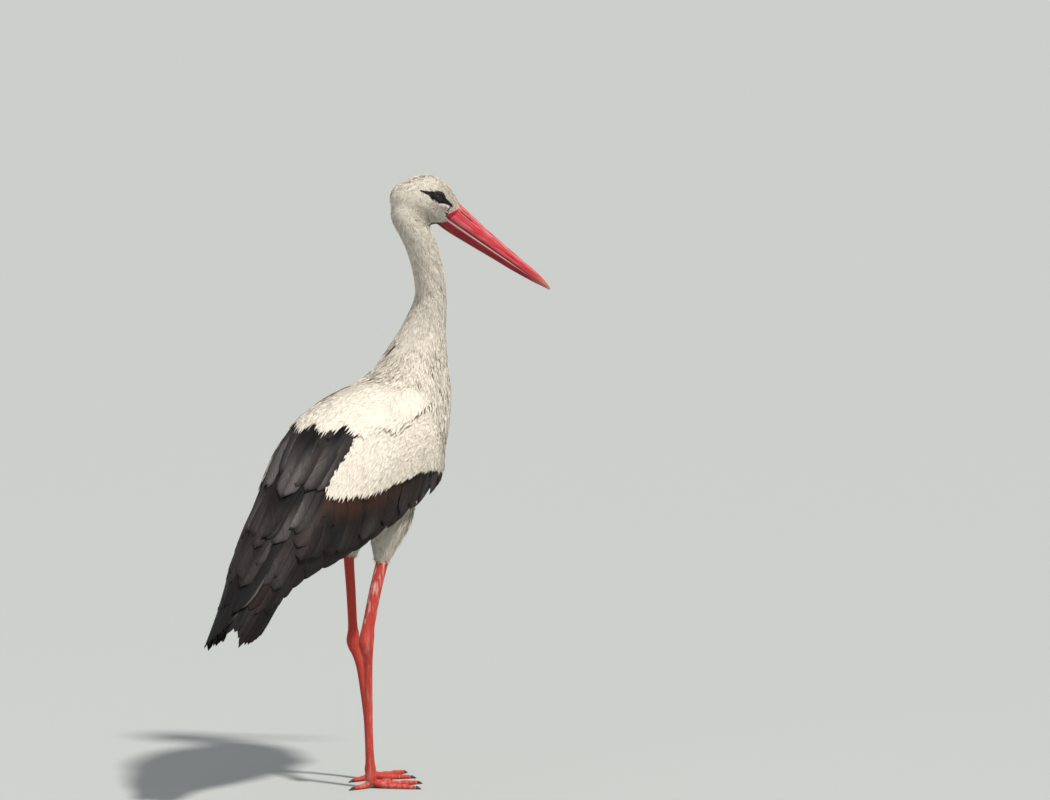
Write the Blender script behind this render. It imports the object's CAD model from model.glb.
# %% [markdown]
# # A white stork at rest, built feather by feather
#
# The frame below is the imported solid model: trunk, neck, head, folded wings, tail and legs at
# life size. It says where everything is, and nothing here moves it. This lesson dresses it: a
# single skin first, then the plumage, which is some eighteen thousand small sheets of mesh
# laid over the skin the way real feathers lie, and last the bill, the eyes and their lids.

# %% Load the frame
import math

import bpy
import numpy as np
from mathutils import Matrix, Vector


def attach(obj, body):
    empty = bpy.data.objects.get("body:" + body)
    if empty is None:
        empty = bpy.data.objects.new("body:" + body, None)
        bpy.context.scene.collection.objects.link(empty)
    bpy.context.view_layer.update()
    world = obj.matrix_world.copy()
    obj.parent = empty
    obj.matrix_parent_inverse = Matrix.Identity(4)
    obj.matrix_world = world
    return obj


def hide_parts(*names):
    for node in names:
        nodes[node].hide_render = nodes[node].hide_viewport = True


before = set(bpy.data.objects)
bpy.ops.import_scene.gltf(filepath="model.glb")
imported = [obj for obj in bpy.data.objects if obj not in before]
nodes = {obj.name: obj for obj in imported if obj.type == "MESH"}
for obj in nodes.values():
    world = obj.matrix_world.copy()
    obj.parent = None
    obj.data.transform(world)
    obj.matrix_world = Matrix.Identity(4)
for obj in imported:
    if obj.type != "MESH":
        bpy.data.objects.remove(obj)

for leftover in ("Cube", "Light", "Camera"):  # what an empty Blender file starts with
    if leftover in bpy.data.objects:
        bpy.data.objects.remove(bpy.data.objects[leftover])
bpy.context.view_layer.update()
chance = np.random.default_rng(11)  # the one source of randomness, so every run is the same

# %% [markdown]
# ## Camera, floor and light
#
# A long lens from twelve metres keeps the bird's proportions, as a telescope view does. The
# camera stands behind the bird's right wing and a little above it. The floor is one plain pale
# sheet, large enough to fill the picture. A broad sun gives soft edged shadows from the upper
# right, a big panel near the camera opens the dark side, and the pale sky fills in the rest.

# %% Camera
AZIMUTH, ELEVATION = math.radians(-50), math.radians(7)
DISTANCE, VIEW_WIDTH = 12.0, 1.495  # metres
TARGET = np.array([0.2411, -0.1053, 0.5422])  # the spot in the middle of the picture
FILM_WIDTH = 36  # millimetres


def direction(azimuth, elevation):
    """From the bird towards a viewer: azimuth 0 looks along +Y, and 90 along -X."""
    flat = math.cos(elevation)
    return np.array([math.sin(azimuth) * flat, -math.cos(azimuth) * flat, math.sin(elevation)])


def aim(thing, towards):
    """Turns a camera or lamp so that it looks against the given direction."""
    thing.rotation_euler = Vector(towards).to_track_quat("Z", "Y").to_euler()


scene = bpy.context.scene
camera = bpy.data.objects.new("camera", bpy.data.cameras.new("camera"))
scene.collection.objects.link(camera)
camera.data.sensor_width = FILM_WIDTH
camera.data.lens = FILM_WIDTH * DISTANCE / VIEW_WIDTH
camera.data.clip_end = 200
back = direction(AZIMUTH, ELEVATION)
camera.location = TARGET + back * DISTANCE
aim(camera, back)
scene.camera = camera
print("camera at", [round(v, 2) for v in camera.location], "lens", round(camera.data.lens, 1))


# %% Floor, sky and lamps
def principled(name, colour, roughness=0.5, **values):
    """A new material; returns it, its node tree and its Principled shader."""
    material = bpy.data.materials.new(name)
    material.use_nodes = True
    tree = material.node_tree
    shader = tree.nodes["Principled BSDF"]
    shader.inputs["Base Color"].default_value = (*colour, 1)
    shader.inputs["Roughness"].default_value = roughness
    for key, value in values.items():
        shader.inputs[key.replace("_", " ")].default_value = value
    return material, tree, shader


def lamp(name, kind, towards, strength, size, colour=(1, 1, 1)):
    """A sun or an area lamp three metres away that shines from the given direction. The size
    is a sun's angle or a panel's side."""
    light = bpy.data.lights.new(name, kind)
    light.energy, light.color = strength, colour
    if kind == "SUN":
        light.angle = size
    else:
        light.size = size
    lit = bpy.data.objects.new(name, light)
    lit.location = TARGET + towards * 3
    aim(lit, towards)
    scene.collection.objects.link(lit)


FLOOR_HALF = 60.0  # metres
floor_mesh = bpy.data.meshes.new("floor")
floor_mesh.from_pydata([(x * FLOOR_HALF, y * FLOOR_HALF, 0)
                        for x, y in ((-1, -1), (1, -1), (1, 1), (-1, 1))], [], [(0, 1, 2, 3)])
floor_object = bpy.data.objects.new("floor", floor_mesh)
scene.collection.objects.link(floor_object)
floor_object.data.materials.append(principled("pale_floor", (0.40, 0.42, 0.41), 0.9)[0])

sky = bpy.data.worlds.new("sky")
sky.use_nodes = True
sky.node_tree.nodes["Background"].inputs["Color"].default_value = (0.93, 0.96, 1.0, 1)
sky.node_tree.nodes["Background"].inputs["Strength"].default_value = 0.46
scene.world = sky
scene.view_settings.view_transform = "Standard"
lamp("key_sun", "SUN", direction(math.radians(-4), math.radians(58)), 3.9,
     math.radians(5), colour=(1, 0.965, 0.91))
lamp("fill_panel", "AREA", direction(math.radians(-80), math.radians(20)), 15, 2.4)

# %% [markdown]
# ## From numbers to surfaces
#
# Each part of the bird is a smooth curve through a few stations, with a ring or an arc carried
# along it. `through` is that curve. It takes whole arrays, so one call gives every point of a
# surface at once. All tables are in millimetres from the spot under the bird's hips, and
# `placed` moves them into the frame, in metres.

# %% Curves and grids
PLACE = np.array([48.807, 20.224, 0.0])  # the tables' origin in the frame
FORE, UP = np.array([1.0, 0, 0]), np.array([0.0, 0.0, 1.0])
SIDES = ((1, "left"), (-1, "right"))  # the bird's own left is +Y


def placed(points):
    """Table millimetres to frame metres."""
    return (np.asarray(points) + PLACE) / 1000


def unit(v):
    """Vectors scaled to length 1."""
    return v / np.maximum(np.linalg.norm(v, axis=-1, keepdims=True), 1e-9)


def smooth(low, high, x):
    """0 below low, 1 above high, and an S curve between: 3x^2 - 2x^3."""
    x = np.clip((x - low) / (high - low), 0, 1)
    return x * x * (3 - 2 * x)


def near(x, middle, width):
    """A bell curve, 1 at the middle: e to the power of minus the square of widths away."""
    return np.exp(-((x - middle) / width) ** 2)


def through(rows, t):
    """A smooth curve through the rows: on each stretch a cubic whose slope at a row is half
    the step between that row's neighbours."""
    rows = np.asarray(rows, float)
    x = np.clip(np.asarray(t, float), 0, 1) * (len(rows) - 1)
    i = np.minimum(x.astype(int), len(rows) - 2)
    f = (x - i)[..., None]
    more = np.vstack([2 * rows[0] - rows[1], rows, 2 * rows[-1] - rows[-2]])
    a, b, c, d = more[i], more[i + 1], more[i + 2], more[i + 3]
    m0, m1, rise = (c - a) / 2, (d - b) / 2, c - b
    return b + f * (m0 + f * (3 * rise - 2 * m0 - m1 + f * (m0 + m1 - 2 * rise)))


def read_off(rows, x):
    """The second column of a table at x in the first, along straight lines."""
    rows = np.asarray(rows, float)
    return np.interp(x, rows[:, 0], rows[:, 1])


def quads(rows, columns, closed=False):
    """Corner numbers of the faces of a grid; closed joins the last column to the first."""
    r = np.arange(rows - 1)[:, None] * columns
    c = np.arange(columns if closed else columns - 1)[None, :]
    n = (c + 1) % columns
    return np.stack([r + c, r + n, r + n + columns, r + c + columns], -1).reshape(-1, 4)


def mesh_of(name, points, faces, uvs=None, values=None):
    """A mesh object from arrays in table millimetres. faces is a list of arrays of triangles
    or quads, uvs maps a name to one place per vertex, and values a name to one number."""
    mesh = bpy.data.meshes.new(name)
    mesh.vertices.add(len(points))
    mesh.vertices.foreach_set("co", np.ascontiguousarray(placed(points), np.float32).ravel())
    if faces:
        corners = np.concatenate([f.ravel() for f in faces]).astype(np.int32)
        totals = np.concatenate([np.full(len(f), f.shape[1]) for f in faces])
        starts = (np.cumsum(totals) - totals).astype(np.int32)
        mesh.loops.add(len(corners))
        mesh.loops.foreach_set("vertex_index", corners)
        mesh.polygons.add(len(totals))
        mesh.polygons.foreach_set("loop_start", starts)
        mesh.polygons.foreach_set("use_smooth", np.ones(len(totals), bool))
    for key, at_vertex in (uvs or {}).items():
        layer = mesh.uv_layers.new(name=key)
        layer.data.foreach_set("uv", np.ascontiguousarray(at_vertex[corners], np.float32).ravel())
    for key, numbers in (values or {}).items():
        mesh.attributes.new(key, "FLOAT", "POINT").data.foreach_set(
            "value", np.ascontiguousarray(numbers, np.float32))
    mesh.update(calc_edges=True)
    piece = bpy.data.objects.new(name, mesh)
    scene.collection.objects.link(piece)
    return piece


def capped(grid):
    """A closed tube from a grid of rings: all their points, then the middle of each end ring
    with a fan of triangles round it. Returns points and faces."""
    rows, columns = grid.shape[:2]
    ends = np.stack([grid[0].mean(0), grid[-1].mean(0)])
    turn = np.arange(columns)
    after = (turn + 1) % columns
    last, tip = (rows - 1) * columns, rows * columns
    fans = np.concatenate([
        np.stack([after, turn, np.full(columns, tip)], 1),
        np.stack([last + turn, last + after, np.full(columns, tip + 1)], 1)])
    return np.vstack([grid.reshape(-1, 3), ends]), [quads(rows, columns, True), fans]


def with_ends(values, first=0, last=0):
    """A number for each point of a capped grid: the grid's own, then one for each end."""
    return np.append(np.ravel(values), [first, last])


def rings(rows, columns):
    """Shares 0 to 1 down the rows and angles once round the columns, as two grids."""
    return np.meshgrid(np.linspace(0, 1, rows), np.arange(columns) * 2 * np.pi / columns,
                       indexing="ij")


def loft(ring_at, rows, columns):
    """A closed tube whose ring at share t is ring_at(t, angle)."""
    return capped(ring_at(*rings(rows, columns)))


# %% [markdown]
# ## The body's own shape
#
# Trunk and neck are one tube. Each station gives the middle of the body, how far it reaches
# to the back, the belly and the sides, and which way the bird faces there, since the neck
# turns to the right. The head is a second tube along its own straight line.

# %% Stations of the body, head, wings and legs
BODY = [  # x, y, z, then reach to the back, to the belly and to the side, and the heading
    [-204, 0, 366, 10, 12, 12, 0], [-172, 0, 390, 22, 36, 34, 0], [-120, 0, 424, 50, 56, 58, 0],
    [-58, 0, 456, 72, 78, 76, 0], [4, 0, 488, 77, 90, 80, 0], [54, 0, 522, 70, 88, 76, 0],
    [84, -3, 562, 58, 60, 62, -4], [97, -8, 602, 47, 40, 46, -10],
    [105, -15, 645, 33, 27, 31, -18], [106, -23, 690, 22, 22, 22.5, -26],
    [97.5, -22.5, 736, 20.5, 21.5, 21, -34], [84.5, -16, 776, 20.5, 23, 22, -40],
    [75, -4.5, 808, 21.5, 23.5, 21.5, -40], [75, -2.5, 828, 18, 18, 19, -40]]
HEAD = [  # distance along the head, top edge, bottom edge and half width
    [-89, -21, -31, 6], [-84, -7, -42, 14.5], [-73, 13, -48, 20.5], [-60, 23, -50, 24],
    [-45, 27.5, -45, 25], [-31, 27, -39, 23.5], [-17, 23.5, -31, 19.5],
    [-6, 19.5, -23, 15.5], [2, 16.5, -14, 12.2]]
BILL = [  # distance from the gape, height of the upper half, depth of the lower, half width
    [-8, 26, 15.4, 12.6], [10, 23.8, 15.8, 11.8], [40, 19.6, 14, 9.8], [80, 15, 11, 7.4],
    [117, 11.6, 8.6, 5.4], [150, 8.6, 5.4, 3.6], [170, 4.8, 2.4, 2.2], [180, 1.2, 0.9, 0.9]]
WING = [  # the section's top x and z, its lower edge x and z, half width at the widest, below
    [100, 520, 100, 496, 40, 36], [66, 566, 88, 464, 66, 62], [0, 572, 60, 432, 90, 76],
    [-112, 530, -30, 395, 98, 86], [-188, 434, -127, 352, 80, 74],
    [-246, 360, -212, 316, 58, 54], [-287, 302, -250, 272, 44, 42],
    [-337, 237, -291, 219, 31, 29]]
SHINS = {  # x, y, z, half depth, half width; the left leg is 1 and the right leg -1
    1: [[0, 40, 352, 11, 9.5], [-2.5, 38, 322, 8, 7.2], [-0.5, 36, 275, 7.2, 6.4],
        [-1, 32.5, 228, 7, 6.4], [-2, 30.5, 214, 9, 7.8], [-3.5, 30, 204, 10, 8.4],
        [-2, 29.5, 195, 8.6, 7.6]],
    -1: [[-11, -42, 352, 11, 9.5], [-21, -40, 322, 9.3, 8.4], [-33.5, -38.5, 284, 9.2, 8.2],
         [-44, -35.5, 238, 9.4, 8.4], [-46.5, -34.5, 222, 11.2, 9.8],
         [-47.5, -33.5, 211, 11.8, 10.2], [-45.5, -33, 201, 10, 9]]}
TARSI = {
    1: [[-2, 29.5, 195, 8.6, 7.6], [3, 27.5, 182, 6.8, 6.2], [9, 25.2, 158, 6, 5.6],
        [18.5, 22.7, 98, 5.9, 5.6], [21.5, 21.7, 56, 6, 5.8], [23, 21.2, 28, 6.6, 6.6],
        [23.4, 21, 15, 7.8, 8.6], [23.5, 21, 7, 6, 6.8]],
    -1: [[-45.5, -33, 201, 10, 9], [-42.5, -32, 188, 7.6, 7],
         [-39.5, -30.3, 166, 6.3, 6], [-35.5, -27.3, 100, 6.1, 5.9],
         [-31.5, -25.3, 56, 6.2, 6], [-28.5, -24.3, 28, 6.8, 6.8],
         [-27.3, -24, 15, 7.8, 8.6], [-27, -24, 7, 6, 6.8]]}
TOES = {"middle": (72, 4, 4.9), "inner": (58, -34, 4.6),  # length, angle outwards, root radius
        "outer": (64, 40, 4.6), "hind": (30, 172, 4.2)}
FOOT_TURN = {1: -4, -1: -20}  # degrees that each foot is turned to the bird's left
HEADING = math.radians(-40)  # where head and bill point, seen from above
HEAD_ROOT, HEAD_PITCH = (126, -47, 806), math.radians(-42.8)
BILL_ROOT, BILL_PITCH = (121, -43, 803), math.radians(-35.5)
EYE_PLACE, EYE_RADIUS = (-37, 6, 17.2), 7.5  # along the head, up, and out to the side


# %% Body and head as functions
def body_frame(t):
    """Middle, forward, side and back directions and the reaches of the body at share t."""
    row = through(BODY, t)
    forward = unit(through(BODY, np.minimum(t + 0.004, 1))[..., :3]
                   - through(BODY, np.maximum(t - 0.004, 0))[..., :3])
    turn = np.radians(row[..., 6])
    side = np.stack([-np.sin(turn), np.cos(turn), 0 * turn], -1)
    dorsal = unit(np.cross(forward, side))
    return row, forward, unit(np.cross(dorsal, forward)), dorsal


def body_point(t, angle):
    """The ring round the body at t: middle + side sin(angle) + back cos(angle), each times its
    reach. The angle is 0 at the back and pi at the belly."""
    row, _, side, dorsal = body_frame(t)
    up = np.cos(angle)
    reach = np.where(up > 0, row[..., 3], row[..., 4])
    return (row[..., :3] + side * (np.sin(angle) * row[..., 5])[..., None]
            + dorsal * (up * reach)[..., None])


def axes(pitch):
    """Forward, left and up of something on the head that slopes by that pitch."""
    flat = math.cos(pitch)
    along = np.array([math.cos(HEADING) * flat, math.sin(HEADING) * flat, math.sin(pitch)])
    left = np.array([-math.sin(HEADING), math.cos(HEADING), 0.0])
    return along, left, np.cross(along, left)


def in_axes(root, pitch, a, u, l):
    """Root + a forward + u up + l left, for arrays a, u and l."""
    along, left, up = axes(pitch)
    a, u, l = np.broadcast_arrays(a, u, l)
    return np.array(root) + a[..., None] * along + u[..., None] * up + l[..., None] * left


def head_point(t, angle):
    """The ring round the head: a circle stretched between its top, bottom and side edges."""
    row = through(HEAD, t)
    radius = (row[..., 1] - row[..., 2]) / 2
    return in_axes(HEAD_ROOT, HEAD_PITCH, row[..., 0],
                   (row[..., 1] + row[..., 2]) / 2 + radius * np.cos(angle),
                   row[..., 3] * np.sin(angle))


def tube_point(rows, ahead):
    """A function (t, angle) for a tube along rows of x, y, z and two radii: the first radius
    lies nearest to the direction ahead."""
    def point(t, angle):
        """The ring at share t: middle + front cos(angle) + across sin(angle), each scaled."""
        row = through(rows, t)
        forward = unit(through(rows, np.minimum(t + 0.01, 1))[..., :3]
                       - through(rows, np.maximum(t - 0.01, 0))[..., :3])
        across = unit(np.cross(ahead, forward))
        front = np.cross(forward, across)
        return (row[..., :3] + front * (np.cos(angle) * row[..., 3])[..., None]
                + across * (np.sin(angle) * row[..., 4])[..., None])
    return point


# %% [markdown]
# ## The folded wing as a shell
#
# A folded wing wraps round the body like half a pointed shell. A place on it needs two
# numbers: s runs from the bend at the shoulder to the tip, and r round from the middle of the
# back to the lower edge. A third, the lift, stands off the shell, and the feathers use it to
# lie over each other. Every border between white and black is then a short curve in s and r.

# %% The wing shell and its borders
BELLY = 0.45  # how far up from the lower edge the shell is widest
SCAPULAR_EDGE, CAPE_END = 0.285, 0.445  # r and s where the white cape ends
SHELL_LENGTH = 500  # millimetres that s stands for, about
COVERT_EDGE = [[0, 1.1], [0.19, 1.08], [0.235, 0.96], [0.3, 0.76], [0.36, 0.62],
               [0.45, 0.547], [0.5, 0.46], [0.535, 0.38], [0.556, 0.28]]


def wing_section(r, depth, wide, low):
    """Sideways and upward place on a section: a quarter of an ellipse over the back, then one
    that draws in to the lower edge. Below the widest place the height falls by a x - (a-1) x^2
    with a = pi/2, which keeps the steps even down to the edge and on past it."""
    turn = (r - 0.5) * np.pi
    x = np.minimum(2 * r - 1, 1.35)
    sine = np.where(r < 0.5, np.sin(turn), np.pi / 2 * x - (np.pi / 2 - 1) * x * x)
    y = np.where(r < 0.5, wide * np.cos(turn), wide - (wide - low) * sine * sine)
    up = np.where(r < 0.5, depth * (BELLY - (1 - BELLY) * sine), depth * BELLY * (1 - sine))
    return y, up


def wing_point(left, s, r, lift=0.0):
    """A point of the shell. r may run past the middle of the back on to the other wing."""
    s, r, lift, left = np.broadcast_arrays(*(np.asarray(v, float) for v in (s, r, lift, left)))
    left, r = np.where(r < 0, -left, left), np.abs(r)
    row = through(WING, s)
    past_tip = np.maximum(s - 1, 0)[..., None] * (len(WING) - 1)
    row = row + past_tip * (np.array(WING[-1]) - np.array(WING[-2]))
    low = np.stack([row[..., 2], 0 * s, row[..., 3]], -1)
    dorsal = np.stack([row[..., 0], 0 * s, row[..., 1]], -1) - low
    depth = np.linalg.norm(dorsal, axis=-1)
    dorsal = dorsal / depth[..., None]
    y, up = wing_section(r, depth, row[..., 4], row[..., 5])
    y0, up0 = wing_section(np.maximum(r - 0.01, 0), depth, row[..., 4], row[..., 5])
    y1, up1 = wing_section(r + 0.01, depth, row[..., 4], row[..., 5])
    length = np.hypot(y1 - y0, up1 - up0)
    out, rise = (up0 - up1) / length, (y1 - y0) / length
    point = low + dorsal * (up + rise * lift)[..., None]
    point[..., 1] += left * (y + out * lift)
    return point


def cape_border(r):
    """s where the white cape ends over the black tertials: two tongues on either side."""
    across = np.abs(r) / SCAPULAR_EDGE
    return CAPE_END - 0.045 * across ** 2 - 0.012 * np.cos(across * 4 * np.pi)


def is_black(s, r):
    """1 where the wing is black: past the cape near the back, below the coverts at the side."""
    r, soft = np.abs(r), 0.01
    behind = smooth(-soft, soft, s - cape_border(r))
    below = smooth(-soft, soft, r - read_off(COVERT_EDGE, s)) * (s < 0.556) + (s >= 0.556)
    return np.where(r < SCAPULAR_EDGE, behind, below)


chord = np.linalg.norm(wing_point(1, 1, 0.5) - wing_point(1, 0, 0.5))
print("wing length", round(float(chord)), "mm")

# %% [markdown]
# ## The form that the plumage follows
#
# Rings and shells meet in creases, and a real bird has none. So the tubes are put together
# and remeshed as one closed surface, then smoothed, which draws a soft fillet where the neck
# enters the head or a wing joins the breast. Every feather will be laid on this form. Voxel
# remeshing suits it because it welds overlapping closed shapes of any kind in one step.

# %% One smooth form from overlapping tubes
def wing_slab(left):
    """A closed slab under the shell: its outer face at the shell, its inner face well inside,
    joined round the rim. The grid wraps from the outer face to the inner one."""
    s, r = np.meshgrid(np.linspace(0.01, 0.66, 46), np.linspace(-0.02, 0.985, 36),
                       indexing="ij")
    outer = wing_point(left, s, r, -2.0)
    inner = wing_point(left, s, r, -10.0 + 2 * smooth(0.45, 0.66, s))
    return capped(np.concatenate([outer, inner[:, ::-1]], 1))


def thigh_rows(left):
    """The feathered thigh, from inside the flank to just above the bare shin."""
    x, y, z = SHINS[left][1][:3]
    return [[x + 20, y + 2 * left, z + 118, 26, 20], [x + 18, y + 4 * left, z + 96, 39, 30],
            [x + 12, y + 3 * left, z + 64, 35, 27], [x + 6, y + left, z + 33, 23, 18],
            [x + 2, y, z + 13, 13.5, 12], [x + 1, y, z + 4, 9.6, 9]]


TAIL_ROOT, TAIL_LENGTH = np.array([-176, 0, 380.0]), 152
TAIL_AHEAD, TAIL_UP = np.array([-0.72, 0, -0.694]), np.array([-0.694, 0, 0.72])


def tail_rows():
    """The folded tail as a flat tube, from inside the rump."""
    stations = [(-0.12, 20, 28), (0.1, 16, 31), (0.4, 8, 31), (0.75, 4, 27), (0.95, 2, 21),
                (1, 1, 14)]
    return [[*(TAIL_ROOT + TAIL_LENGTH * TAIL_AHEAD * share), thick, half]
            for share, thick, half in stations]


def welded(parts, name):
    """One mesh object from several (points, faces)."""
    points, faces, start = [], [], 0
    for p, fs in parts:
        points.append(p)
        faces += [f + start for f in fs]
        start += len(p)
    return mesh_of(name, np.vstack(points), faces)


def applied(piece):
    """The piece with its modifiers made real."""
    graph = bpy.context.evaluated_depsgraph_get()
    mesh = bpy.data.meshes.new_from_object(piece.evaluated_get(graph))
    piece.modifiers.clear()
    old, piece.data = piece.data, mesh
    bpy.data.meshes.remove(old)
    mesh.name = piece.name
    return piece


def remeshed(piece, voxel, rounds):
    """Welds overlapping closed shapes into one surface of that voxel size, and smooths it."""
    weld = piece.modifiers.new("weld", "REMESH")
    weld.mode, weld.voxel_size, weld.use_smooth_shade = "VOXEL", voxel, True
    soften = piece.modifiers.new("soften", "SMOOTH")
    soften.factor, soften.iterations = 0.5, rounds
    return applied(piece)


FORM_VOXEL, LEG_VOXEL = 0.0034, 0.00125  # metres
parts = [loft(body_point, 120, 64), loft(head_point, 60, 48),
         loft(tube_point(tail_rows(), UP), 30, 24)]
parts += [loft(tube_point(thigh_rows(side), FORE), 30, 32) for side, _ in SIDES]
parts += [wing_slab(side) for side, _ in SIDES]
form = remeshed(welded(parts, "form"), FORM_VOXEL, 6)
print("form:", len(form.data.vertices), "points")

# %% [markdown]
# ## Asking the form where its surface is
#
# Geometry Nodes can look up the nearest place on a surface for a whole cloud of points at
# once, much faster than a loop in Python. `onto` wraps that up: points go in as a mesh
# without faces, and the nearest places and the normals there come out as arrays.

# %% Nearest places on the form
def lookup_tree(target):
    """A node tree that stores, on each point, the nearest place on the target and its normal."""
    tree = bpy.data.node_groups.new("look_up", "GeometryNodeTree")
    for way in ("INPUT", "OUTPUT"):
        tree.interface.new_socket("Geometry", in_out=way, socket_type="NodeSocketGeometry")
    new, link = tree.nodes.new, tree.links.new
    info = new("GeometryNodeObjectInfo")
    info.inputs["Object"].default_value = target
    flow = new("NodeGroupInput").outputs["Geometry"]
    for key, kind in (("foot", "GeometryNodeInputPosition"), ("out", "GeometryNodeInputNormal")):
        sample = new("GeometryNodeSampleNearestSurface")
        sample.data_type = "FLOAT_VECTOR"
        link(info.outputs["Geometry"], sample.inputs["Mesh"])
        link(new(kind).outputs[0], sample.inputs["Value"])
        store = new("GeometryNodeStoreNamedAttribute")
        store.data_type, store.inputs["Name"].default_value = "FLOAT_VECTOR", key
        link(flow, store.inputs["Geometry"])
        link(sample.outputs["Value"], store.inputs["Value"])
        flow = store.outputs["Geometry"]
    link(flow, new("NodeGroupOutput").inputs["Geometry"])
    return tree


look_up = lookup_tree(form)


def vectors(attribute, count):
    """A vector attribute as an array with three columns."""
    out = np.empty(count * 3, np.float32)
    attribute.data.foreach_get("vector", out)
    return out.reshape(-1, 3).astype(float)


def onto(points):
    """For millimetre points of any shape (..., 3): the nearest places on the form, in
    millimetres, and the normals there."""
    flat = np.asarray(points).reshape(-1, 3)
    cloud = mesh_of("cloud", flat, [])
    cloud.modifiers.new("look up", "NODES").node_group = look_up
    graph = bpy.context.evaluated_depsgraph_get()
    seen = cloud.evaluated_get(graph).data
    foot = vectors(seen.attributes["foot"], len(flat)) * 1000 - PLACE
    out = unit(vectors(seen.attributes["out"], len(flat)))
    mesh = cloud.data
    bpy.data.objects.remove(cloud)
    bpy.data.meshes.remove(mesh)
    return foot.reshape(points.shape), out.reshape(points.shape)


foot, out = onto(np.array([[300.0, 0, 500], [0, 0, 700]]))
print("nearest:", foot.round(1).tolist())

# %% [markdown]
# ## Where on the bird is this point?
#
# Colour, feather size and the lie of the coat all depend on where a point is. `whereabouts`
# answers that in the bird's own terms: how far along the body, where on the head, and where
# on the wing shell. It compares each point with a few thousand sample places in one matrix
# product, so even the whole skin takes about a second.

# %% Whereabouts
BODY_SHARES = np.linspace(0, 1, 180)
BODY_MIDDLES = through(BODY, BODY_SHARES)[:, :3]
WING_S, WING_R = np.meshgrid(np.linspace(0, 1, 48), np.linspace(0, 1, 32), indexing="ij")
WING_PLACES = np.concatenate([wing_point(side, WING_S, WING_R).reshape(-1, 3)
                              for side, _ in SIDES])


def nearest(points, places):
    """For each point the number of the nearest place and the distance to it."""
    number = np.empty(len(points), int)
    ruler = np.float32((places ** 2).sum(1))
    for start in range(0, len(points), 4000):
        some = np.float32(points[start:start + 4000])
        number[start:start + 4000] = (ruler - 2 * some @ np.float32(places.T)).argmin(1)
    return number, np.linalg.norm(points - places[number], axis=1)


def in_head(points):
    """Forward, up and left of the head's root, and how far out of the head's tube: 1 is on it."""
    along, left, up = axes(HEAD_PITCH)
    away = points - np.array(HEAD_ROOT)
    a, u, l = away @ along, away @ up, away @ left
    rows = np.array(HEAD, float)
    top, bottom, half_width = (np.interp(a, rows[:, 0], rows[:, k]) for k in (1, 2, 3))
    out = np.hypot((u - (top + bottom) / 2) / ((top - bottom) / 2), l / half_width)
    return a, u, l, np.where((a > -88) & (a < 4), out, 9.0)


def whereabouts(points):
    """The body share t, head places a, u, l and out, and wing places side, s, r and gap."""
    body, _ = nearest(points, BODY_MIDDLES)
    wing, gap = nearest(points, WING_PLACES)
    a, u, l, out = in_head(points)
    cells = WING_S.size
    return {"t": BODY_SHARES[body], "a": a, "u": u, "l": l, "out": out,
            "side": np.where(wing < cells, 1, -1), "s": WING_S.ravel()[wing % cells],
            "r": WING_R.ravel()[wing % cells], "gap": gap}


# %% [markdown]
# ## Bare skin on the face
#
# Round the eye the skin is bare and black, drawn out to a thin point behind and to a streak
# towards the bill. Under the bill lies a second bare patch, the throat pouch. Both are shapes
# in the head's own measure, so the same functions colour the skin and keep feathers off it.

# %% Bare patches
ALMOND_A = [-64, -56, -49, -43, -38.5, -32, -26, -20, -13]  # along the head
ALMOND_U = [-6.0, -2.4, 1.2, 2.4, 2.8, 4.2, 7.0, 8.0, 8.6]  # the middle of the patch there
ALMOND_HALF = [1.0, 2.3, 4.0, 6.8, 7.9, 7.2, 4.8, 2.8, 1.4]  # and its half width


def eye_patch(a, u, l):
    """1 inside the black almond round the eye: a bent line from behind the eye towards the
    bill, with a half width that swells at the eye."""
    offset = np.abs(u - np.interp(a, ALMOND_A, ALMOND_U))
    return (1 - smooth(0.9, 1.05, offset / np.interp(a, ALMOND_A, ALMOND_HALF))) \
        * (np.abs(l) > 7) * (a > ALMOND_A[0]) * (a < ALMOND_A[-1])


def lore_patch(a, u, l):
    """1 on the thin dark line that runs from the front of the almond down to the gape."""
    return (1 - smooth(1.3, 2.4, np.abs(a + 12.2 + 0.12 * u))) * smooth(-7, -5, u) \
        * (1 - smooth(9, 11, u)) * (np.abs(l) > 5)


def throat_patch(a, u, l):
    """1 on the bare pouch between the halves of the lower jaw: low, narrow and near the bill."""
    rows = np.array(HEAD, float)
    bottom = np.interp(a, rows[:, 0], rows[:, 2])
    low = 1 - smooth(4, 8, u - bottom)
    return low * smooth(-36, -27, a) * (1 - smooth(8, 12, np.abs(l)))


def gape_patch(a, u, l):
    """1 on the wedge of bare red skin where the bill's edges run back into the cheek."""
    back = a + 11
    return smooth(0, 1, back) * smooth(-9.4, -8.4, u - 0.05 * back) \
        * (1 - smooth(0, 1.5, u + 7.5 - 2.2 * back)) * (np.abs(l) > 5)


# %% The lie of the coat
def lie_of(points, where):
    """Which way feathers point: back along the body's tube, from the bill over the crown and
    then down the nape, and straight down on the thighs."""
    forward = body_frame(where["t"])[1]
    turn = smooth(-20, -66, where["a"])[:, None]
    down_the_nape = unit(np.array([-0.30, 0.25, -0.92]))
    on_head = unit((1 - turn) * -axes(HEAD_PITCH)[0] + turn * down_the_nape)
    is_head = (1 - smooth(1.05, 1.35, where["out"]))[:, None]
    lie = is_head * on_head + (1 - is_head) * -forward
    thigh = ((1 - smooth(370, 420, points[:, 2])) * smooth(-60, -40, points[:, 0]))[:, None]
    return unit((1 - thigh) * lie + thigh * np.array([-0.12, 0, -1.0]))


# %% [markdown]
# ## One skin
#
# The skin is the form sunk by the depth of the coat: a couple of millimetres on the face,
# half a centimetre on the trunk. The bare legs and toes need a finer mesh than the body, so
# they are remeshed on their own at a millimetre and then united with the body by a Boolean,
# deep inside the thigh feathers. From bill to toes it is a single closed surface.

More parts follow.
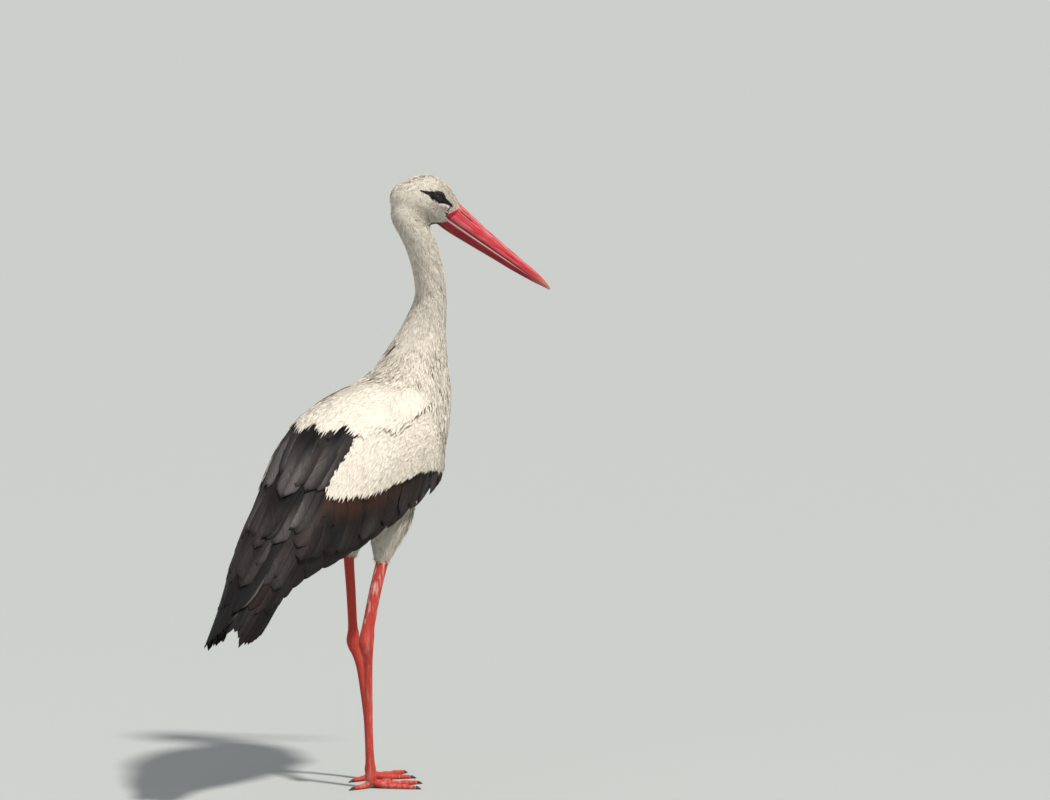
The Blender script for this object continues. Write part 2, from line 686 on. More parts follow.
# %% Skin of the legs
def toe_rows(side, name):
    """The toe's axis droops to the floor at its tip. The joints are a little thicker."""
    length, angle, radius = TOES[name]
    x, y = TARSI[side][-1][:2]
    turn = math.radians(FOOT_TURN[side] + side * angle)
    shares = [(0, 9, 1.0), (0.07, 8, 1.0), (0.18, 6, 1.02), (0.34, 4, 0.9), (0.44, 3.9, 1.0),
              (0.62, 3.2, 0.78), (0.72, 3.3, 0.86), (0.9, 2.7, 0.68), (1, 2.9, 0.6)]
    return [[x + math.cos(turn) * length * share, y + math.sin(turn) * length * share, height,
             radius * thick, radius * thick * 1.12] for share, height, thick in shares]


def leg_parts(side):
    """Shin, ankle, shank and toes as overlapping closed tubes."""
    made = [loft(tube_point(SHINS[side], FORE), 90, 28),
            loft(tube_point(TARSI[side], FORE), 110, 28)]
    made += [loft(tube_point(toe_rows(side, name), UP), 50, 20) for name in TOES]
    for points, _ in made:
        points[:, 2] = np.maximum(points[:, 2], 0.0)
    return made


legs = remeshed(welded(leg_parts(1) + leg_parts(-1), "legs"), LEG_VOXEL, 3)
print("legs:", len(legs.data.vertices), "points")


# %% Skin of the body, and the two made one
def coordinates(piece):
    """All vertex places of a piece, in table millimetres."""
    out = np.empty(len(piece.data.vertices) * 3, np.float32)
    piece.data.vertices.foreach_get("co", out)
    return out.reshape(-1, 3).astype(float) * 1000 - PLACE


def vertex_normals(piece):
    """All vertex normals of a piece."""
    out = np.empty(len(piece.data.vertices) * 3, np.float32)
    piece.data.vertex_normals.foreach_get("vector", out)
    return out.reshape(-1, 3).astype(float)


def coat_depth(where):
    """Millimetres from the tips of the feathers to the skin."""
    trunk = np.interp(where["t"], [0, 0.1, 0.45, 0.6, 0.8, 1], [2.5, 5, 6, 4.5, 3, 2.5])
    head = np.interp(where["a"], [-80, -30, -4, 2], [2.2, 1.6, 0.8, 0.4])
    on_head = 1 - smooth(1.05, 1.3, where["out"])
    depth = on_head * head + (1 - on_head) * trunk
    return np.where((where["gap"] < 14) & (where["s"] > 0.1), np.minimum(depth, 2.5), depth)


form_points, form_normals = coordinates(form), vertex_normals(form)
form_where = whereabouts(form_points)
skin = form.copy()
skin.data = form.data.copy()
skin.name = skin.data.name = "skin"
scene.collection.objects.link(skin)
sunk = placed(form_points - form_normals * coat_depth(form_where)[:, None])
skin.data.vertices.foreach_set("co", sunk.astype(np.float32).ravel())
skin.data.update()
unite = skin.modifiers.new("unite", "BOOLEAN")
unite.operation, unite.solver, unite.object = "UNION", "MANIFOLD", legs
applied(skin)
bpy.data.objects.remove(legs)
skin.data.polygons.foreach_set("use_smooth", np.ones(len(skin.data.polygons), bool))
print("skin:", len(skin.data.vertices), "points,",
      sum(len(p.vertices) - 2 for p in skin.data.polygons), "triangles")


# %% Markings on the skin
def mark(piece, **numbers):
    """Stores one number per vertex under each name, for the materials to read."""
    for key, value in numbers.items():
        layer = piece.data.attributes.new(key, "FLOAT", "POINT")
        layer.data.foreach_set("value", np.ascontiguousarray(value, np.float32))


skin_points = coordinates(skin)
where = whereabouts(skin_points)
on_wing = (where["gap"] < 16) & (where["s"] > 0.06)
bare = throat_patch(where["a"], where["u"], where["l"]) * (where["out"] < 1.2)
leg = 1 - smooth(330, 338, skin_points[:, 2])
leg *= np.abs(skin_points[:, 0] + 10) < 130  # the tail hangs as low, but further back
mark(skin, black=np.where(on_wing, is_black(where["s"], where["r"]), 0), bare=bare, leg=leg)
body_nodes = [n for n in nodes if n.startswith(("trunk", "neck", "head", "cape", "wing", "tail",
                                                "leg", "toe"))]
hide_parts(*body_nodes)
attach(skin, "root")
print("skin stands for", len(body_nodes), "nodes")

# %% [markdown]
# ## Patterns shared by the materials
#
# Feather barbs, scales and soft blotches turn up in several finishes, so each is a node group
# made once. A group only works out a mask or a height; the shader itself stays in the
# material. The barbs read the feather's own UV map, where v runs from root to tip and u
# across, so the lines slant away from the shaft as real barbs do.

# %% Helpers for node trees
def group(name, inputs, outputs):
    """A new shader group with its named sockets; returns it, what it is given and what it
    has to make."""
    tree = bpy.data.node_groups.new(name, "ShaderNodeTree")
    for key, (kind, value) in inputs.items():
        socket = tree.interface.new_socket(key, in_out="INPUT", socket_type="NodeSocket" + kind)
        if value is not None:
            socket.default_value = value
    for key, kind in outputs.items():
        tree.interface.new_socket(key, in_out="OUTPUT", socket_type="NodeSocket" + kind)
    given = tree.nodes.new("NodeGroupInput").outputs
    return tree, given, tree.nodes.new("NodeGroupOutput").inputs


def sums(tree, kind, *values):
    """A Math node on numbers or sockets; returns its output."""
    node = tree.nodes.new("ShaderNodeMath")
    node.operation = kind
    for socket, value in zip(node.inputs, values):
        if isinstance(value, (int, float)):
            socket.default_value = value
        else:
            tree.links.new(value, socket)
    return node.outputs[0]


def product(tree, first, *others):
    """All the numbers multiplied together."""
    for other in others:
        first = sums(tree, "MULTIPLY", first, other)
    return first


def blend(tree, share, first, second):
    """A colour between two colours or sockets; returns its output."""
    node = tree.nodes.new("ShaderNodeMix")
    node.data_type = "RGBA"
    for socket, value in zip((node.inputs[0], node.inputs[6], node.inputs[7]),
                             (share, first, second)):
        if isinstance(value, tuple):
            socket.default_value = (*value, 1)
        elif isinstance(value, (int, float)):
            socket.default_value = value
        else:
            tree.links.new(value, socket)
    return node.outputs[2]


def step(tree, value, low, high):
    """A number from 0 at low to 1 at high, held at both ends."""
    node = tree.nodes.new("ShaderNodeMapRange")
    node.inputs["From Min"].default_value, node.inputs["From Max"].default_value = low, high
    tree.links.new(value, node.inputs["Value"])
    return node.outputs["Result"]


def squeezed(tree, vector, stretch):
    """A vector socket multiplied along its axes; returns the output."""
    node = tree.nodes.new("ShaderNodeMapping")
    node.inputs["Scale"].default_value = stretch
    tree.links.new(vector, node.inputs["Vector"])
    return node.outputs[0]


def noise(tree, vector, scale, detail=3.0):
    """Noise from 0 to 1 at a vector socket; returns its output."""
    node = tree.nodes.new("ShaderNodeTexNoise")
    node.inputs["Scale"].default_value, node.inputs["Detail"].default_value = scale, detail
    tree.links.new(vector, node.inputs["Vector"])
    return node.outputs["Fac"]


def number(tree, name):
    """The number stored under that name on the mesh."""
    node = tree.nodes.new("ShaderNodeAttribute")
    node.attribute_name = name
    return node.outputs["Fac"]


# %% The barbs of a feather
barbs, given, made = group(
    "barbs", {"Place": ("Vector", None), "Seed": ("Float", 0.0), "Fineness": ("Float", 60.0),
              "Slant": ("Float", 0.6)}, {"Streak": "Float", "Height": "Float"})
split = barbs.nodes.new("ShaderNodeSeparateXYZ")
barbs.links.new(given["Place"], split.inputs[0])
across = sums(barbs, "ABSOLUTE", sums(barbs, "SUBTRACT", split.outputs[0], 0.5))
slanted = sums(barbs, "SUBTRACT", split.outputs[1], product(barbs, across, given["Slant"]))
lined = barbs.nodes.new("ShaderNodeCombineXYZ")
barbs.links.new(product(barbs, slanted, given["Fineness"]), lined.inputs[0])
barbs.links.new(product(barbs, split.outputs[0], 1.5), lined.inputs[1])
barbs.links.new(product(barbs, given["Seed"], 37.0), lined.inputs[2])
fine = noise(barbs, lined.outputs[0], 1.0, 2.0)
broad = noise(barbs, lined.outputs[0], 0.22, 1.0)
barbs.links.new(sums(barbs, "ADD", product(barbs, fine, 0.6), product(barbs, broad, 0.4)),
                made["Streak"])
barbs.links.new(fine, made["Height"])

# %% Blotches, and scales with grooves between them
blotches, given, made = group("blotches", {"Place": ("Vector", None), "Size": ("Float", 40.0)},
                              {"Mask": "Float"})
patches = blotches.nodes.new("ShaderNodeTexNoise")
patches.inputs["Detail"].default_value = 4
blotches.links.new(given["Place"], patches.inputs["Vector"])
blotches.links.new(given["Size"], patches.inputs["Scale"])
blotches.links.new(patches.outputs["Fac"], made["Mask"])

scales, given, made = group("scales", {"Place": ("Vector", None), "Size": ("Float", 420.0)},
                            {"Height": "Float", "Groove": "Float"})
cells = scales.nodes.new("ShaderNodeTexVoronoi")
cells.feature = "DISTANCE_TO_EDGE"
scales.links.new(given["Place"], cells.inputs["Vector"])
scales.links.new(given["Size"], cells.inputs["Scale"])
plate = sums(scales, "MINIMUM", product(scales, cells.outputs["Distance"], 7.0), 1.0)
scales.links.new(plate, made["Height"])
scales.links.new(sums(scales, "SUBTRACT", 1.0, plate), made["Groove"])


# %% Putting a group, a bump or coordinates into a material
def placed_group(tree, which, **values):
    """Puts a group into a material, with numbers or sockets on its inputs."""
    node = tree.nodes.new("ShaderNodeGroup")
    node.node_tree = which
    for key, value in values.items():
        if isinstance(value, (int, float)):
            node.inputs[key].default_value = value
        else:
            tree.links.new(value, node.inputs[key])
    return node.outputs


def bumped(tree, shader, height, distance, strength=1.0):
    """Lets a height, in metres of distance, bend the shader's normal."""
    node = tree.nodes.new("ShaderNodeBump")
    node.inputs["Distance"].default_value = distance
    node.inputs["Strength"].default_value = strength
    tree.links.new(height, node.inputs["Height"])
    tree.links.new(node.outputs["Normal"], shader.inputs["Normal"])


def object_place(tree, stretch=(1, 1, 1)):
    """Object coordinates, squeezed along the axes."""
    return squeezed(tree, tree.nodes.new("ShaderNodeTexCoord").outputs["Object"], stretch)


# %% Masks in the head's own measure
def measured(tree, root, pitch):
    """Object coordinates turned into millimetres forward, up and left of a root on the head:
    three dot products."""
    away = tree.nodes.new("ShaderNodeVectorMath")
    away.operation = "SUBTRACT"
    tree.links.new(tree.nodes.new("ShaderNodeTexCoord").outputs["Object"], away.inputs[0])
    away.inputs[1].default_value = placed(root)
    found = []
    along, left, up = axes(pitch)
    for axis in (along, up, left):
        dot = tree.nodes.new("ShaderNodeVectorMath")
        dot.operation = "DOT_PRODUCT"
        tree.links.new(away.outputs[0], dot.inputs[0])
        dot.inputs[1].default_value = axis * 1000
        found.append(dot.outputs["Value"])
    return found


def curve(tree, value, xs, ys):
    """ys at xs, along straight lines, as a Float Curve node between two range nodes."""
    low, high, bottom, top = min(xs), max(xs), min(ys), max(ys)
    node = tree.nodes.new("ShaderNodeFloatCurve")
    points = node.mapping.curves[0].points
    for x, y in zip(xs[1:-1], ys[1:-1]):
        points.new((x - low) / (high - low), (y - bottom) / (top - bottom))
    points[0].location = (0, (ys[0] - bottom) / (top - bottom))
    points[len(points) - 1].location = (1, (ys[-1] - bottom) / (top - bottom))
    for point in points:
        point.handle_type = "VECTOR"
    node.mapping.update()
    tree.links.new(step(tree, value, low, high), node.inputs["Value"])
    return sums(tree, "ADD", bottom, product(tree, node.outputs[0], top - bottom))


def almond_mask(tree, a, u, l):
    """`eye_patch` again as nodes, so that its edge is sharp however coarse the skin is."""
    offset = sums(tree, "ABSOLUTE", sums(tree, "SUBTRACT", u, curve(tree, a, ALMOND_A, ALMOND_U)))
    share = sums(tree, "DIVIDE", offset, curve(tree, a, ALMOND_A, ALMOND_HALF))
    return product(tree, step(tree, share, 1.05, 0.9), step(tree, sums(tree, "ABSOLUTE", l), 6, 8),
                   step(tree, a, ALMOND_A[0], ALMOND_A[0] + 1),
                   step(tree, a, ALMOND_A[-1], ALMOND_A[-1] - 1))


def lore_mask(tree, a, u, l):
    """`lore_patch` again as nodes."""
    away = sums(tree, "ABSOLUTE", sums(tree, "ADD", sums(tree, "ADD", a, 12.2),
                                       product(tree, u, 0.12)))
    return product(tree, step(tree, away, 2.8, 1.6), step(tree, u, -7, -5),
                   step(tree, u, 12, 10), step(tree, sums(tree, "ABSOLUTE", l), 4, 5))


def wedge_mask(tree, a, u, l):
    """`gape_patch` again as nodes."""
    back = sums(tree, "ADD", a, 11.0)
    low = sums(tree, "SUBTRACT", u, product(tree, back, 0.05))
    high = sums(tree, "SUBTRACT", sums(tree, "ADD", u, 7.5), product(tree, back, 2.2))
    return product(tree, step(tree, back, 0, 1), step(tree, low, -9.4, -8.6),
                   step(tree, high, 1.0, 0), step(tree, sums(tree, "ABSOLUTE", l), 4, 5))


# %% [markdown]
# ## Finishes
#
# White feathers are never plain white: they are warm at the tip, greyer and browner towards
# the root where they lie in each other's shade, and every feather differs a little. Black
# ones are a very dark brown with a soft gloss, worn paler along their edges. The bare shins
# and toes are red, scaled, and dusted with white.

# %% White feathers
def vane_place(tree):
    """The feather's own UV map."""
    node = tree.nodes.new("ShaderNodeUVMap")
    node.uv_map = "Vane"
    return node.outputs[0]


WHITE = (0.84, 0.79, 0.70)
BUFF = (0.60, 0.52, 0.40)
SHADED = (0.27, 0.23, 0.175)
BARE_BLACK = (0.005, 0.004, 0.005)
white_feather, tree, shader = principled("white_feather", WHITE, 0.78)
streaks = placed_group(tree, barbs, Place=vane_place(tree), Seed=number(tree, "seed"),
                       Fineness=34.0)
pale = blend(tree, product(tree, streaks["Streak"], 0.5), WHITE, BUFF)
tone = blend(tree, number(tree, "shade"), pale, SHADED)
a, u, l = measured(tree, HEAD_ROOT, HEAD_PITCH)
ragged = product(tree, sums(tree, "SUBTRACT", streaks["Streak"], 0.5), 3.0)
thin_end = product(tree, almond_mask(tree, a, sums(tree, "ADD", u, ragged), l),
                   step(tree, a, -42, -47))
tree.links.new(blend(tree, thin_end, tone, BARE_BLACK), shader.inputs["Base Color"])
bumped(tree, shader, streaks["Height"], 0.0005, 0.6)

# %% Black feathers
INK = (0.003, 0.0027, 0.003)
SOOT = (0.011, 0.0095, 0.0095)
GLOSSED = (0.17, 0.15, 0.145)
RUST = (0.075, 0.028, 0.014)
WORN = (0.17, 0.14, 0.12)
black_feather, tree, shader = principled("black_feather", INK, 0.46, Specular_IOR_Level=0.14)
streaks = placed_group(tree, barbs, Place=vane_place(tree), Seed=number(tree, "seed"),
                       Fineness=90.0)
dark = blend(tree, streaks["Streak"], INK, SOOT)
lit = product(tree, number(tree, "bloom"), step(tree, streaks["Streak"], 0.15, 0.7))
dark = blend(tree, lit, dark, GLOSSED)
dark = blend(tree, product(tree, number(tree, "warm"), streaks["Streak"]), dark, RUST)
dark = blend(tree, number(tree, "worn"), dark, WORN)
tree.links.new(dark, shader.inputs["Base Color"])
tree.links.new(sums(tree, "ADD", 0.38, product(tree, streaks["Streak"], 0.3)),
               shader.inputs["Roughness"])
bumped(tree, shader, streaks["Height"], 0.0006, 0.7)

# %% The skin's finish
DOWN = (0.66, 0.60, 0.51)
RED = (0.66, 0.075, 0.050)
DEEP_RED = (0.30, 0.020, 0.018)
CHALK = (0.68, 0.42, 0.35)
BILL_RED = (0.40, 0.012, 0.022)  # the bill's colours run back into the skin at the gape
BILL_DEEP = (0.19, 0.0, 0.008)
BILL_LINE = (0.012, 0.002, 0.003)
skin_finish, tree, shader = principled("skin", DOWN, 0.58, Specular_IOR_Level=0.22)
here = object_place(tree)
plates = placed_group(tree, scales, Place=object_place(tree, (1, 1, 0.7)), Size=520.0)
dust = placed_group(tree, blotches, Place=object_place(tree, (1, 1, 0.16)), Size=190.0)["Mask"]
weathered = product(tree, placed_group(
    tree, blotches, Place=object_place(tree, (1, 1, 0.3)), Size=120.0)["Mask"], 0.5)
leg_red = blend(tree, weathered, RED, DEEP_RED)
leg_red = blend(tree, product(tree, plates["Groove"], 0.55), leg_red, DEEP_RED)
chalky = product(tree, number(tree, "chalk"), step(tree, dust, 0.50, 0.66))
leg_red = blend(tree, chalky, leg_red, CHALK)
tone = blend(tree, number(tree, "black"), DOWN, INK)
a, u, l = measured(tree, HEAD_ROOT, HEAD_PITCH)
hairy = product(tree, sums(tree, "SUBTRACT", noise(tree, here, 700.0), 0.5), 2.0)
a, u = sums(tree, "ADD", a, hairy), sums(tree, "SUBTRACT", u, hairy)
naked = sums(tree, "MAXIMUM", number(tree, "bare"), almond_mask(tree, a, u, l))
naked = sums(tree, "MAXIMUM", naked, lore_mask(tree, a, u, l))
near_bill = product(tree, step(tree, a, -13, -7), step(tree, u, -30, -24),
                    step(tree, noise(tree, here, 900.0), 0.38, 0.62))
tone = blend(tree, product(tree, near_bill, 0.75), tone, SHADED)
tone = blend(tree, naked, tone, BARE_BLACK)
ahead, above, _ = measured(tree, BILL_ROOT, BILL_PITCH)
horn = blend(tree, step(tree, above, 0.0, 0.8), BILL_DEEP, BILL_RED)
mouth = step(tree, sums(tree, "ABSOLUTE", above), 1.1, 0.5)
horn = blend(tree, mouth, horn, BILL_LINE)
tone = blend(tree, wedge_mask(tree, a, u, l), tone, horn)
tone = blend(tree, number(tree, "leg"), tone, leg_red)
tree.links.new(tone, shader.inputs["Base Color"])
bumped(tree, shader, product(tree, plates["Height"], number(tree, "leg")), 0.0004)
skin.data.materials.clear()
skin.data.materials.append(skin_finish)
shin = smooth(222, 250, skin_points[:, 2]) * (1 - smooth(322, 334, skin_points[:, 2]))
mark(skin, chalk=leg * (skin_points[:, 1] < 0) * (0.9 * shin + 0.25) + 0.05)

# %% Claws
CLAW_DARK = (0.022, 0.014, 0.011)
CLAW_PALE = (0.16, 0.105, 0.075)
claw_finish, tree, shader = principled("claw_horn", CLAW_DARK, 0.34)
grain = noise(tree, object_place(tree, (1, 1, 2.5)), 260.0, 4.0)
tree.links.new(blend(tree, step(tree, grain, 0.42, 0.70), CLAW_DARK, CLAW_PALE),
               shader.inputs["Base Color"])
bumped(tree, shader, grain, 0.0002, 0.5)
for claw in (n for n in nodes if n.startswith("claw")):
    for place in bpy.data.objects[claw].material_slots:
        place.material = claw_finish
print("materials:", [m.name for m in bpy.data.materials if m.users])

# %% [markdown]
# ## Feathers as bundles of strands
#
# A body feather is a shaft with barbs that cling together near the root and come apart at
# the tip. Seen from a step away it is a bundle of narrow pointed strands, side by side. So
# `bundle` makes a whole crowd of feathers at once as one array of strands, flat on a plane:
# x runs along each feather, y across it, and z is how far it stands off. Laying the bundle
# on the bird is a second, separate step.

# %% A crowd of feathers on a plane
def bundle(count, length, width, strands, rows, part_at, ragged=0.16, camber=0.1, roll=0.35,
           root_depth=2.0, lift=1.0, base=0.35, wander=0.10, cover=0.72):
    """Feathers of count strands each. Strand c, from -1 to 1 across, reaches length times
    (1 - 0.32 c^2) and runs at y = c width/2 times an opening that grows from base to 1. Its
    half width holds to the share part_at and then tapers to a point. z sinks to root_depth at
    the root, rises to the lift at the tip, and falls off with camber to both edges."""
    length, width, lift = (np.broadcast_to(v, count).reshape(-1, 1, 1)
                           for v in (length, width, lift))
    c = np.linspace(-1, 1, strands)[None, :, None] + chance.normal(0, 0.35 / strands,
                                                                    (count, strands, 1))
    reach = length * (1 - 0.32 * c ** 2 + chance.normal(0, ragged, (count, strands, 1)))
    k = np.linspace(0, 1, rows)[None, None, :]
    opening = base + (1 - base) * smooth(0, 0.45, k)
    swing = chance.normal(0, wander, (count, strands, 1)) * np.maximum(k - part_at * 0.6, 0)
    x = reach * k
    y = c * width / 2 * opening + swing * reach
    taper = 1 - np.maximum((k - part_at) / (1 - part_at), 0) ** 1.5
    half = width / strands * cover * opening * taper
    tilt = chance.normal(0, roll, (count, strands, 1)) * half
    z = (-root_depth * (1 - k) ** 1.4 + lift * k ** 1.6 - camber * width * c ** 2
         + chance.uniform(-0.25, 0.25, (count, strands, 1)) * k)
    sides = np.array([-1.0, 1.0])
    pair = [np.broadcast_to(v, x.shape)[..., :-1, None] for v in (x, y, z, half, tilt)]
    px = np.broadcast_to(pair[0], pair[0].shape[:-1] + (2,))
    py, pz = pair[1] + sides * pair[3], pair[2] + sides * pair[4]
    flat = (count, strands, -1)
    tips = [np.broadcast_to(v, x.shape)[..., -1:] for v in (x, y, z)]
    laid = [np.concatenate([body.reshape(flat), tip], -1)
            for body, tip in zip((px, py, pz), tips)]
    v = np.broadcast_to(k, x.shape)
    v = np.concatenate([np.repeat(v[..., :-1], 2, -1), v[..., -1:]], -1)
    u = np.clip(0.5 + laid[1] / (width * 1.4), 0, 1)
    return {"x": laid[0], "y": laid[1], "z": laid[2], "u": u, "v": v}


def strand_faces(feathers, strands, per):
    """Faces of strands of per points each: quads up the strand, and a triangle at its point."""
    last_pair = per - 3
    quad = np.arange(0, last_pair, 2)[:, None] + np.array([0, 1, 3, 2])
    tri = np.array([[last_pair, last_pair + 1, last_pair + 2]])
    starts = (np.arange(feathers * strands) * per)[:, None, None]
    return [(starts + quad).reshape(-1, 4), (starts + tri).reshape(-1, 3)]


# %% From bundles to coat pieces
BAKE_PATCH = 0.003  # of the whole map, for each feather


def coat_piece(name, points, faces, laid, unwrap, material, slot_name, **numbers):
    """A joined coat mesh. unwrap holds each feather's place on the skin's own unwrap, and the
    OFBake map gives every feather a small patch of its own there."""
    own = np.stack([laid["u"], laid["v"]], -1)
    patch = np.broadcast_to(np.asarray(unwrap).reshape(len(own), 1, 1, 2), own.shape)
    piece = mesh_of(name, points.reshape(-1, 3), faces,
                    uvs={"OFBake": (patch + BAKE_PATCH * (own - 0.5)).reshape(-1, 2),
                         "Vane": own.reshape(-1, 2)},
                    values={k: np.broadcast_to(v, own.shape[:-1]).reshape(-1)
                            for k, v in numbers.items()})
    piece.data.materials.append(material)
    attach(piece, "root")
    triangles = sum(len(f) * (f.shape[1] - 2) for f in faces)
    print(name, len(own), "feathers,", triangles, "triangles")
    return piece


def white_coat(name, points, laid, unwrap, differ, contrast, gloom, fade, shade):
    """Bundles as one white piece. Feathers differ in tone, and their strands by the cube of
    chance times contrast; each darkens to gloom at its root by (1 - v) to the power fade."""
    count, strands = laid["x"].shape[:2]
    tone = chance.uniform(0, differ, (count, 1, 1)) \
        + contrast * chance.uniform(0, 1, (count, strands))[..., None] ** 3
    depth = gloom * (1 - laid["v"]) ** fade
    return coat_piece(name, points, strand_faces(*laid["x"].shape), laid, unwrap,
                      white_feather, "white_feather", shade=np.clip(tone + depth + shade, 0, 1),
                      seed=chance.uniform(0, 1, (count, 1, 1)))


# %% Feathers on the form
def body_unwrap(points, where):
    """The skin's own unwrap: the angle round the body's axis across, and the share up."""
    row, _, side, dorsal = body_frame(where["t"])
    away = points - row[..., :3]
    angle = np.arctan2((away * side).sum(-1), (away * dorsal).sum(-1))
    head = where["out"] < 1.3
    across = np.where(head, np.arctan2(where["l"], where["u"] + 8), angle)
    up = np.where(head, 0.86 + 0.12 * np.clip(where["a"] + 90, 0, 92) / 92,
                  0.02 + 0.8 * where["t"])
    return np.stack([0.5 + across / (2 * np.pi) * 0.96, up], -1)


LOCK_A, LOCK_B = np.array([0.42, 0.11, 0.30]), np.array([-0.13, 0.37, -0.21])


def plumage(name, roots, where, size, strands, rows, part_at, loose=0.25, shade=0.0,
            contrast=0.35, gloom=0.36, locks=0.12, offset=0.0, **look):
    """Feathers on the form. Each is laid out flat at its root along the lie of the coat, every
    point is dropped to the nearest place on the form, and its z then stands off from there.
    Two crossed waves over the body turn neighbours together, which makes locks."""
    _, out = onto(roots)
    lie = lie_of(roots, where)
    lie = unit(lie + chance.normal(0, 0.08, lie.shape))
    ahead = unit(lie - (lie * out).sum(-1, keepdims=True) * out)
    wave = (locks * (np.sin(roots @ LOCK_A) + np.sin(roots @ LOCK_B)))[:, None]
    ahead = unit(ahead + wave * np.cross(out, ahead))
    side = np.cross(out, ahead)
    length, width = size
    laid = bundle(len(roots), length, width, strands, rows, part_at, **look)
    open_air = (roots[:, None, None] + ahead[:, None, None] * laid["x"][..., None]
                + side[:, None, None] * laid["y"][..., None])
    foot, normal = onto(open_air)
    above = ((open_air - foot) * normal).sum(-1, keepdims=True)
    stand = laid["z"] + laid["v"] * np.reshape(offset, (-1, 1, 1))
    points = foot + normal * (stand[..., None] + loose * (laid["v"] ** 2)[..., None]
                              * np.clip(above, 0, 12))
    return white_coat(name, points, laid, body_unwrap(roots, where), differ=0.16,
                      contrast=contrast, gloom=gloom, fade=1.5, shade=shade)


# %% Spots for the roots
def scattered(count):
    """Spots spread evenly over the form by area, their whereabouts, and the square
    millimetres of each."""
    mesh = form.data
    area = np.empty(len(mesh.polygons), np.float32)
    mesh.polygons.foreach_get("area", area)
    corner = np.empty(len(mesh.polygons) * 4, np.int32)
    mesh.polygons.foreach_get("vertices", corner)
    corner = corner.reshape(-1, 4)
    places = (np.arange(count) + chance.uniform(0, 1, count)) / count
    face = np.searchsorted(np.cumsum(area) / area.sum(), places).clip(0, len(area) - 1)
    a, b = chance.uniform(0, 1, (2, count, 1))
    p = form_points[corner[face]]
    spots = (p[:, 0] * (1 - a) * (1 - b) + p[:, 1] * a * (1 - b) + p[:, 2] * a * b
             + p[:, 3] * (1 - a) * b)
    return spots, whereabouts(spots), float(area.sum()) * 1e6 / count


SPOTS = 170000
spots, spot_where, spot_area = scattered(SPOTS)
# No body feather grows where wing feathers lie, inside the wing, or along its black low edge.
shell = wing_point(spot_where["side"], spot_where["s"], spot_where["r"])
shell_out = unit(wing_point(spot_where["side"], spot_where["s"], spot_where["r"], 1.0) - shell)
above_shell = ((spots - shell) * shell_out).sum(-1)
on_shell = (above_shell > -6) & (above_shell < 8) & (spot_where["gap"] < 14) \
    & (spot_where["s"] > 0.055 + 0.045 * smooth(0.3, 0.5, spot_where["r"])) \
    & (spot_where["r"] < 0.99)
under_shell = (above_shell < -3) & (spot_where["r"] < 0.97) & (spot_where["s"] > 0.03) \
    & (spot_where["s"] < 0.97)
low_edge = (spot_where["r"] > 0.95) & (spot_where["gap"] < 9) & (spot_where["s"] > 0.22)
open_spots = ~on_shell & ~under_shell & ~low_edge
luck = chance.uniform(0, 1, len(spots))
print("spots:", SPOTS, "each", round(spot_area, 2), "mm2;", int(open_spots.sum()), "open")


def chosen(mask, each):
    """The spots in a region, thinned so that each stands for that many square millimetres."""
    keep = mask & open_spots & (luck < spot_area / each)
    return spots[keep], {k: v[keep] for k, v in spot_where.items()}


# %% [markdown]
# ## The coat from the bill backwards
#
# Feathers are shortest on the face, a few millimetres, and grow down the neck to the breast.
# On a stork the neck feathers are long and narrow, which gives the neck its combed look. Each
# region is one joined mesh with its own size, and the regions overlap at their borders.

# %% Head and neck
w = spot_where
head_zone = (w["out"] < 1.22) & (w["a"] > -100)


def clear_of_patches(points, lie, reach):
    """True where a feather of that reach, from root to tip, stays off the bare patches."""
    worst = np.zeros(len(points))
    for share in (0, 0.2, 0.4, 0.6, 0.8, 1.0):
        a, u, l, _ = in_head(points + lie * np.reshape(reach, (-1, 1)) * share)
        for patch in (eye_patch, throat_patch, gape_patch):
            worst = np.maximum(worst, patch(a, u, l))
    return worst < 0.4


reach = np.interp(w["a"], [-48, -25, -8, 2], [8.5, 5.5, 4.0, 3.0])
face_zone = head_zone & (w["a"] > -66) & clear_of_patches(spots, lie_of(spots, w), reach)
face_zone &= (lore_patch(w["a"], w["u"], w["l"]) < 0.5) \
    | (chance.uniform(0, 1, len(spots)) < 0.4)
roots, where = chosen(face_zone, 3.6)
face_length = np.interp(where["a"], [-66, -48, -25, -8, 2], [10, 8.5, 5.5, 4.0, 3.0])
strokes = near(where["a"] + 0.15 * where["u"], -12.5, 5.0) \
    * smooth(-9, -6, where["u"]) * (1 - smooth(9, 13, where["u"]))
strokes = 0.9 * strokes * (chance.uniform(0, 1, len(roots)) < 0.5)
rooted = np.interp(where["a"], [-20, -8], [1.2, 0.25])[:, None, None]
crown = smooth(6, 15, where["u"] + 0.12 * where["a"])[:, None, None]
plumage("plumage_face", roots, where, (face_length, face_length * 0.5), strands=5, rows=4,
        part_at=0.35, root_depth=rooted, lift=0.55, camber=0.05, loose=0.1,
        contrast=0.58 - 0.34 * crown, gloom=0.2 - 0.12 * crown,
        locks=0.26 - 0.12 * crown[:, 0, 0], shade=strokes[:, None, None])
roots, where = chosen(head_zone & (w["a"] < -60), 6.5)
plumage("plumage_nape", roots, where, (np.interp(where["a"], [-84, -60], [14, 10.5]), 4.2),
        strands=5, rows=5, part_at=0.3, root_depth=1.8, lift=0.7, camber=0.05, loose=0.2,
        contrast=0.34, gloom=0.18)
neck_zone = (w["out"] > 1.05) & (w["t"] > 0.60)
roots, where = chosen(neck_zone, 8.0)
neck_length = np.interp(where["t"], [0.6, 0.72, 1], [30, 22, 14])
plumage("plumage_neck", roots, where, (neck_length, neck_length * 0.27), strands=6, rows=5,
        part_at=0.3, root_depth=2.6, lift=1.3, camber=0.06, loose=0.08, contrast=0.52,
        gloom=0.30, locks=0.22)

